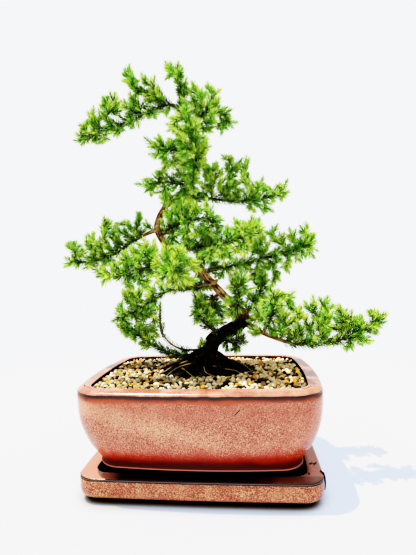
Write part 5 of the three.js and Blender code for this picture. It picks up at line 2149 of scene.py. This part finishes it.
@dataclass
class FineRoots(Maker):
    """Thin pale roots that lie over the mound and into the gravel."""

    radius: float = 0.55
    # The roots' three bark numbers: a high flake, no painted shade and full youth.
    dry: tuple[float, float, float] = (0.95, 0.0, 1.0)

    def build(self, shop: Workshop) -> list[Piece]:
        """Makes the roots.

        Args:
            shop: the workshop that turns shapes into pieces.

        Returns:
            The new pieces.
        """
        rng = np.random.default_rng(SEED + 2)
        shape = Shape()
        for route in FINE_ROOTS:
            curve = ground_curve(route)
            arch = np.sin(np.linspace(0, math.pi, len(curve)))
            ground = np.maximum(mound_height(curve[:, :2]), GRAVEL_LEVEL + 0.9)
            curve[:, 2] = ground + 0.5 + arch * rng.uniform(0.6, 2.2)
            thickness = self.radius * rng.uniform(0.8, 1.25)
            radii = np.linspace(thickness, thickness * 0.4, 30)
            shape.add_tube(Path(curve), radii, 7, 0, np.tile(self.dry, (30, 1)))
        return [shop.make("fine_roots", shape, [Bark().material()], "bark")]


# ---------------------------------------------------------------- foliage


@dataclass(frozen=True)
class Axis:
    """A growing line of a spray: its path, its core's radii, where its needles start, its vigour."""

    path: Path
    core: tuple[float, float]
    bare: float
    vigour: float
    woody: float = 0.0
    hidden: bool = False


@dataclass
class Spray:
    """A limb's foliage: a stem, shoots to the listed tips, side shoots, and needles in threes."""

    plan: SprayPlan
    view: Viewpoint
    rng: np.random.Generator
    needle: float = 6.4
    whorl_gap: float = 1.25
    needle_width: float = 0.84
    lean: tuple[float, float] = (0.95, 0.5)
    lean_run: float = 7.0
    lean_spread: float = 0.1
    tip_lean: tuple[float, float] = (0.34, 0.12)
    turn_spread: float = 0.14
    foot_depth: float = 0.7
    length_range: tuple[float, float] = (0.82, 1.12)
    tip_shrink: float = 0.28
    shrink_run: float = 3.0
    old_tone: float = 0.16
    young_tone: float = 0.92
    young_run: float = 5.5
    bend_at: float = 0.42
    bend_rise: float = 0.03
    point_drop: float = 0.07
    foot_share: float = 0.7
    keel_share: float = 0.75
    stem_core: tuple[float, float] = (1.3, 0.7)
    shoot_core: tuple[float, float] = (0.7, 0.4)
    side_core: tuple[float, float] = (0.5, 0.32)
    side_gap: float = 2.7
    side_length: tuple[float, float] = (5.0, 9.0)
    tip_inset: float = 4.4
    fill_gap: float = 9.0
    depth_spread: float = 5.0
    fill_reach: float = 34.0
    least_run: float = 4.0
    least_gap: float = 3.6
    side_turn: float = 2.4
    droop: float = 0.7
    axes: list[Axis] = field(default_factory=list)

    def stem_path(self, limb: Path) -> Path:
        """The stem: straight on from the limb's wood, then through its points.

        Args:
            limb: the middle line of the limb that the stem grows from.

        Returns:
            The stem's middle line.
        """
        end = limb.points[-1]
        run = unit(end - limb.points[-2])
        points = np.array(self.plan.stem, dtype=float)
        points[-1] -= unit(points[-1] - points[-2]) * self.tip_inset
        return Path(catmull_rom(np.vstack([[end - 0.6 * run], [end + 2 * run], points]), 10))

    def grow(self) -> None:
        """Grows the stem, the listed shoots and those between them, then the side shoots of all."""
        limb = smooth_path(self.plan.limb, 12)
        self.axes.append(Axis(self.stem_path(limb), self.stem_core, bare=3.0, vigour=0.7, woody=1.0))
        clear = self.plan.bare * limb.length
        if limb.length - clear > self.least_run:
            self.axes.append(Axis(limb, (2.0, 1.5), bare=clear, vigour=0.35, woody=1.0, hidden=True))
        stems = len(self.axes)
        tips = [np.array(tip, dtype=float) for tip in self.plan.tips]
        places = tips + self.between(tips) + self.place_seen(tips)
        for place in sorted(places, key=self.room):
            self.add_shoot(place)
        for number, axis in enumerate(list(self.axes)):
            self.add_side_shoots(axis, number < stems)

    def room(self, place: Array) -> float:
        """How far a place is from the nearest axis."""
        return min(axis.path.nearest(place)[1] for axis in self.axes)

    def between(self, tips: list[Array]) -> list[Array]:
        """More tips on the lines between neighbouring ones, so that the spray is full.

        Args:
            tips: the listed tips.

        Returns:
            The new tips, drawn in a little towards the stem.
        """
        ends = tips + [self.axes[0].path.points[-1]]
        stem = self.axes[0].path
        made: list[Array] = []
        joined = set()
        for number, tip in enumerate(ends):
            gaps = [(math.dist(tip, other), index) for index, other in enumerate(ends) if index != number]
            for gap, index in sorted(gaps)[:2]:
                pair = (min(number, index), max(number, index))
                if pair in joined or gap > self.fill_reach:
                    continue
                joined.add(pair)
                count = max(1, round(gap / self.fill_gap)) - 1
                for step in range(1, count + 1):
                    place = tip + (ends[index] - tip) * step / (count + 1)
                    foot = stem.at(np.array([stem.nearest(place)[0]]))[0]
                    draw = self.rng.uniform(0.0, 0.25)
                    place = place + (foot - place) * draw + self.rng.normal(0, 2.0, 3) * (1, 1.6, 1)
                    made.append(place)
        return made

    def place_seen(self, tips: list[Array]) -> list[Array]:
        """Lifts the tips that the plan gives by their pixels.

        Args:
            tips: the listed tips.

        Returns:
            The points behind the pixels, each about as deep as the stem and the tips near it.
        """
        if not self.plan.seen:
            return []
        anchors = np.vstack([self.axes[0].path.at(np.linspace(0, 1, 30)), tips])
        spots = self.view.pixels(anchors)
        placed = []
        for pixel in self.plan.seen:
            weight = 1 / (((spots - np.array(pixel)) ** 2).sum(1) + 9) ** 2
            depth = float((weight * anchors[:, 1]).sum() / weight.sum())
            placed.append(self.view.behind(pixel, depth + self.rng.normal(0, self.depth_spread)))
        return placed

    def add_shoot(self, tip: Array) -> None:
        """Grows a shoot to a tip from the nearest axis, or none if that is close enough.

        Args:
            tip: the point that the shoot reaches.
        """
        ranked = []
        for number, axis in enumerate(self.axes):
            share, gap = axis.path.nearest(tip)
            ranked.append((gap * (1.0 if number == 0 else 1.15), number, share, gap))
        _, number, share, gap = min(ranked)
        if gap < self.least_gap:
            return
        parent = self.axes[number].path
        root = float(np.clip(share - 0.55 * gap / parent.length, 0.04, 0.97))
        start = parent.at(np.array([root]))[0]
        tangent = parent.frames(np.array([root]))[0][0]
        span = math.dist(start, tip)
        out = tip - start
        out = unit(out - tangent * float(out @ tangent))
        bend = (start + tip) / 2 + tangent * 0.14 * span + out * 0.1 * span
        bend[2] -= 0.05 * span
        end = tip - unit(tip - bend) * min(self.tip_inset, 0.4 * gap)
        path = Path(bezier(start, bend, end, max(8, int(span / 1.5))))
        self.axes.append(Axis(path, self.shoot_core, bare=1.0, vigour=1.0, woody=0.45))

    def add_side_shoots(self, axis: Axis, from_stem: bool) -> None:
        """Sets short side shoots round an axis, leaning forward and turning up to the light.

        Args:
            axis: the line that carries them.
            from_stem: whether that is the limb's wood or its stem, whose side shoots are longer.
        """
        path = axis.path
        turn = self.rng.uniform(0, TURN)
        reach = axis.bare + 1.5
        while reach < path.length - 2.0:
            share = reach / path.length
            tangents, normals, binormals = path.frames(np.array([share]))
            turn += self.side_turn + self.rng.uniform(-0.4, 0.4)
            out = normals[0] * math.cos(turn) + binormals[0] * math.sin(turn)
            low, high = self.side_length
            length = self.rng.uniform(low, high) * (1.2 if from_stem else 1.0 - 0.4 * share)
            if out[2] < -0.2:
                length *= self.droop
            lean = self.rng.uniform(0.5, 0.8)
            towards = unit(tangents[0] * math.cos(lean) + out * math.sin(lean) + np.array([0, 0, 0.12]))
            start = path.at(np.array([share]))[0]
            bend = start + towards * length * 0.5
            end = bend + unit(towards + tangents[0] * 0.35 + np.array([0, 0, 0.3])) * length * 0.5
            side = Path(bezier(start, bend, end, 7))
            vigour = axis.vigour * (0.45 + 0.5 * share)
            self.axes.append(Axis(side, self.side_core, bare=0.8, vigour=vigour))
            reach += self.side_gap * self.rng.uniform(0.75, 1.25) / max(self.plan.bushy, 0.05)

    def build(self, shop: Workshop, materials: list[Material]) -> Piece:
        """Grows the spray and makes it as one piece.

        Args:
            shop: the workshop that turns shapes into pieces.
            materials: the finishes of Green, in their order.

        Returns:
            The new piece.
        """
        self.grow()
        shape = Shape()
        for axis in self.axes:
            if not axis.hidden:
                self.add_core(shape, axis)
            self.add_needles(shape, axis)
        node = self.plan.name
        return shop.make(f"{node}_needles", shape, materials, "needles", (node,), smooth=False)

    def add_core(self, shape: Shape, axis: Axis) -> None:
        """Adds the slim core of an axis.

        Args:
            shape: the mesh that takes it.
            axis: its middle line, whose age colours it.
        """
        rings = max(4, int(axis.path.length / 2.5))
        shares = np.linspace(0, 1, rings)
        age = np.clip(shares * 0.8 + 0.3 - axis.woody * 0.45, 0, 1)
        growth = np.column_stack([age, np.zeros(rings), shares])
        radii = np.interp(shares, [0, 1], axis.core)
        shape.add_tube(axis.path, radii, 5, Green.STEM, growth)

    def add_needles(self, shape: Shape, axis: Axis) -> None:
        """Adds whorls of three needles from the axis's bare foot to its pointed end.

        Args:
            shape: the mesh that takes them.
            axis: the line that they stand on.
        """
        path = axis.path
        count = max(2, int((path.length - axis.bare) / self.whorl_gap))
        reach = axis.bare + (np.arange(count) + 0.5) * self.whorl_gap
        shares = np.clip(np.append(reach / path.length, [1.0, 1.0]), 0, 1)
        rows = len(shares)
        tangents, normals, binormals = path.frames(shares)
        turn = self.rng.uniform(0, 6.28) + np.arange(rows)[:, None] * (TURN / 6) + np.arange(3) * (TURN / 3)
        out = outward(normals, binormals, turn + self.rng.normal(0, self.turn_spread, (rows, 3)))
        left = (1 - shares) * path.length
        lean = np.interp(left, [0, self.lean_run], [self.lean[1], self.lean[0]])
        lean[-2:] = self.tip_lean
        lean = lean[:, None] + self.rng.normal(0, self.lean_spread, (rows, 3))
        ahead = tangents[:, None] * np.cos(lean)[..., None] + out * np.sin(lean)[..., None]
        core = np.interp(shares, [0, 1], axis.core)[:, None, None]
        feet = path.at(shares)[:, None] + out * core * self.foot_depth
        full = self.needle * self.plan.needle_share
        length = full * (1 - self.tip_shrink * np.exp(-left / self.shrink_run))[:, None]
        length = length * self.rng.uniform(*self.length_range, (rows, 3))
        youth = self.young_tone * np.exp(-left / self.young_run)
        # Each spray's own shift of tone: partly the age of its growth, partly painted light on the front
        # sprays and painted shade on those behind and low.
        age = axis.vigour * (self.old_tone + youth) + self.plan.youth_and_light
        age = np.repeat(np.clip(age, 0, 1)[:, None], 3, axis=1)
        tangent = np.repeat(tangents[:, None], 3, axis=1)
        feet, ahead, tangent = (table.reshape(-1, 3) for table in (feet, ahead, tangent))
        self.add_blades(shape, feet, ahead, tangent, length.ravel(), age.ravel())

    def add_blades(
        self, shape: Shape, feet: Array, ahead: Array, tangent: Array, length: Array, age: Array
    ) -> None:
        """Adds needles: slim keeled blades that bend a little towards their shoot.

        Args:
            shape: the mesh that takes them.
            feet: where each starts.
            ahead: the direction of each.
            tangent: the direction of the shoot at each.
            length: how long each is.
            age: how young each is, from 0 to 1.
        """
        ahead = unit(ahead)
        keel = -unit(tangent - ahead * (tangent * ahead).sum(-1, keepdims=True))
        side = np.cross(keel, ahead)
        long = length[:, None]
        half = self.needle_width / 2
        middle = feet + ahead * long * self.bend_at + keel * long * self.bend_rise
        point = feet + ahead * long - keel * long * self.point_drop
        blades = np.stack([
            feet - side * half * self.foot_share,
            feet + side * half * self.foot_share,
            feet + keel * half * self.foot_share,
            middle - side * half,
            middle + side * half,
            middle + keel * half * self.keel_share,
            point,
        ], 1)
        count, corners, _ = blades.shape
        base = np.arange(count)[:, None, None] * corners
        quads = np.array([(0, 1, 4, 3), (1, 2, 5, 4), (2, 0, 3, 5)])[None] + base
        tris = np.array([(2, 1, 0), (3, 4, 6), (4, 5, 6), (5, 3, 6)])[None] + base
        chance = np.repeat(self.rng.random(count)[:, None], corners, axis=1)
        along = np.tile(np.repeat([0.0, self.bend_at, 1.0], (3, 3, 1)), (count, 1))
        growth = np.stack([np.repeat(age[:, None], corners, axis=1), chance, along], -1).reshape(-1, 3)
        shape.add(blades.reshape(-1, 3), quads.reshape(-1, 4), Green.KEEL, growth)
        shape.dress[-1] = np.tile(np.array([Green.FACE, Green.KEEL, Green.KEEL], dtype=np.int32), count)
        shape.faces.append(tris.reshape(-1, 3) + shape.count - corners * count)
        caps = np.array([Green.KEEL, Green.FACE, Green.KEEL, Green.KEEL], dtype=np.int32)
        shape.dress.append(np.tile(caps, count))


# ---------------------------------------------------------------- small things and the studio


@dataclass
class Litter(Maker):
    """Grit that fell on the tray: dark crumbs, a flake of bark and one yellow stone."""

    crumbs: Route = (
        (89.8, -34.9, 21.4, 0.8), (92.9, -35.6, 21.4, 0.9), (94.6, -33.8, 21.4, 0.7),
        (91.4, -34.2, 21.4, 0.6), (84.5, -48, 21.2, 0.8), (86.2, -51.5, 21.3, 0.7),
        (-91.7, -55.3, 90.9, 0.6), (-60, -50, 12.9, 0.8), (22, -50, 12.9, 0.7), (60, -50, 12.8, 0.9),
    )
    scrap: Route = (
        (95.8, -47, 21.6), (97.4, -49, 20.9), (98.3, -51.5, 17.5), (98.2, -53, 13.5), (97.6, -54, 10),
    )
    pebble: tuple[float, float, float] = (-8.5, -51.2, 13.9)
    pebble_radius: float = 1.7

    def build(self, shop: Workshop) -> list[Piece]:
        """Makes the crumbs, the flake and the stone.

        Args:
            shop: the workshop that turns shapes into pieces.

        Returns:
            The new pieces.
        """
        rng = np.random.default_rng(SEED + 3)
        table = np.array(self.crumbs)
        dark = Shape()
        add_stones(dark, table[:, :3], table[:, 3], rng)
        dark.add_tube(smooth_path(self.scrap, 6), np.array([0.5, 1.0, 0.8, 0.6, 0.5, 0.3]), 7)
        crumbs = shop.make("tray_crumbs", dark, [Earth("crumbs").material()], "soil")
        ball = Shape()
        add_stones(ball, np.array([self.pebble]), np.array([self.pebble_radius]), rng, 2)
        ball.growth = [np.tile((0.3, 1.0, 1.0), (len(ball.points[0]), 1))]
        stone = shop.make("tray_pebble", ball, [Stone(ochre=paint(238, 186, 40)).material()], "gravel")
        return [crumbs, stone]


@dataclass(frozen=True)
class Studio:
    """A pale table in bright soft light, with a key light high on the left."""

    backdrop: Colour = paint(236, 237, 241)
    air: Colour = (0.93, 0.96, 1.0, 1.0)
    air_strength: float = 0.62
    key_strength: float = 3.4
    key_direction: tuple[float, float, float] = (0.3, 0.06, -1.0)
    key_softness: float = 0.009
    floor_radius: float = 1400.0
    floor_height: float = -0.05
    contact_reach: float = 22.0
    table: Colour = (0.27, 0.19, 0.065, 1.0)
    # Near black under the tray: the painted contact shadow.
    under: Colour = (0.02, 0.016, 0.008, 1.0)
    glow: Colour = (0.43, 0.553, 0.759, 1.0)
    key_colour: tuple[float, float, float] = (1.0, 0.985, 0.95)
    contrast: tuple[tuple[float, float], ...] = (
        (0.08, 0.012), (0.16, 0.07), (0.26, 0.2), (0.38, 0.4), (0.5, 0.61), (0.62, 0.76), (0.76, 0.88),
        (0.9, 0.95),
    )

    def build(self, shop: Workshop) -> None:
        """Makes the world, the light and the floor, and gives the picture its strong contrast.

        Args:
            shop: the workshop that turns shapes into pieces.
        """
        view = bpy.context.scene.view_settings
        view.view_transform = "Standard"
        view.use_curve_mapping = True
        curve = view.curve_mapping.curves[3]
        for shown, wanted in self.contrast:
            curve.points.new(shown**2.2, wanted**2.2)
        view.curve_mapping.update()
        self.make_world()
        self.add_key()
        self.make_floor(shop)

    def make_world(self) -> None:
        """Even pale air, shown to the camera as the backdrop's colour."""
        world = bpy.data.worlds.new("studio")
        world.use_nodes = True
        bpy.context.scene.world = world
        nodes, links = world.node_tree.nodes, world.node_tree.links
        nodes.clear()
        light = nodes.new("ShaderNodeBackground")
        light.inputs["Color"].default_value = self.air
        light.inputs["Strength"].default_value = self.air_strength
        shown = nodes.new("ShaderNodeBackground")
        shown.inputs["Color"].default_value = self.backdrop
        path = nodes.new("ShaderNodeLightPath")
        mix = nodes.new("ShaderNodeMixShader")
        out = nodes.new("ShaderNodeOutputWorld")
        links.new(path.outputs["Is Camera Ray"], mix.inputs[0])
        links.new(light.outputs[0], mix.inputs[1])
        links.new(shown.outputs[0], mix.inputs[2])
        links.new(mix.outputs[0], out.inputs["Surface"])

    def add_key(self) -> None:
        """Adds the distant key light."""
        light = bpy.data.lights.new("key_light", "SUN")
        light.energy = self.key_strength
        light.angle = self.key_softness
        light.color = self.key_colour
        lamp = bpy.data.objects.new("key_light", light)
        lamp.rotation_euler = Vector(self.key_direction).to_track_quat("-Z", "Y").to_euler()
        bpy.context.scene.collection.objects.link(lamp)

    def make_floor(self, shop: Workshop) -> None:
        """A round table top that fades into the backdrop and glows evenly, save where ambient occlusion
        finds it hidden under the tray: there its glow and colour go near black, a painted contact shadow.

        Args:
            shop: the workshop that turns shapes into pieces.
        """
        count = 96
        edge = circle(count) * self.floor_radius
        here = np.arange(count)
        shape = Shape()
        shape.add(
            at_height(np.vstack([edge, [(0, 0)]]), self.floor_height),
            np.stack([here, (here + 1) % count, np.full(count, count)], -1),
        )
        finish = Finish("table_top")
        nearby = {"Distance": self.contact_reach * METRES}
        # Ambient occlusion dims the glow and turns the colour near black under and beside the tray: a
        # painted contact shadow.
        bare = finish.add("ShaderNodeAmbientOcclusion", nearby, "AO")
        out = finish.add("ShaderNodeVectorMath", {0: finish.place}, "Value", operation="LENGTH")
        finish.set(
            Roughness=0.9,
            Specular_IOR_Level=0.0,
            Emission_Color=self.glow,
            Emission_Strength=bare.fade(0.24, 0.78),
            Base_Color=finish.lay(bare.fade(0.12, 0.38), self.under, self.table),
            Alpha=out.fade(0.75, 0.38),
        )
        floor = shop.make("table_top", shape, [finish.material], None)


# ---------------------------------------------------------------- the whole


def main() -> None:
    """Loads the frame, then builds the studio and every piece of the bonsai."""
    logging.basicConfig(level=logging.INFO, format="%(name)s: %(message)s")
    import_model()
    shop = Workshop()
    view = Viewpoint()
    view.build(shop)
    Studio().build(shop)
    pot = Pot()
    makers: list[Maker] = [pot, Tray(), DrainMeshes(), Soil(pot), Gravel(pot), Wood(), FineRoots(), Litter()]
    for maker in makers:
        for piece in maker.build(shop):
            LOG.info("%s: %d faces", piece.name, len(piece.data.polygons))
    greens = [Needles("needle_keel", 0.1), Twigs(), Needles("needle_face", 0.9)]
    materials = [green.material() for green in greens]
    for number, plan in enumerate(SPRAYS):
        spray = Spray(plan, view, np.random.default_rng([SEED, number]))
        piece = spray.build(shop, materials)
        LOG.info("%s: %d axes, %d faces", piece.name, len(spray.axes), len(piece.data.polygons))


if __name__ == "__main__":
    main()
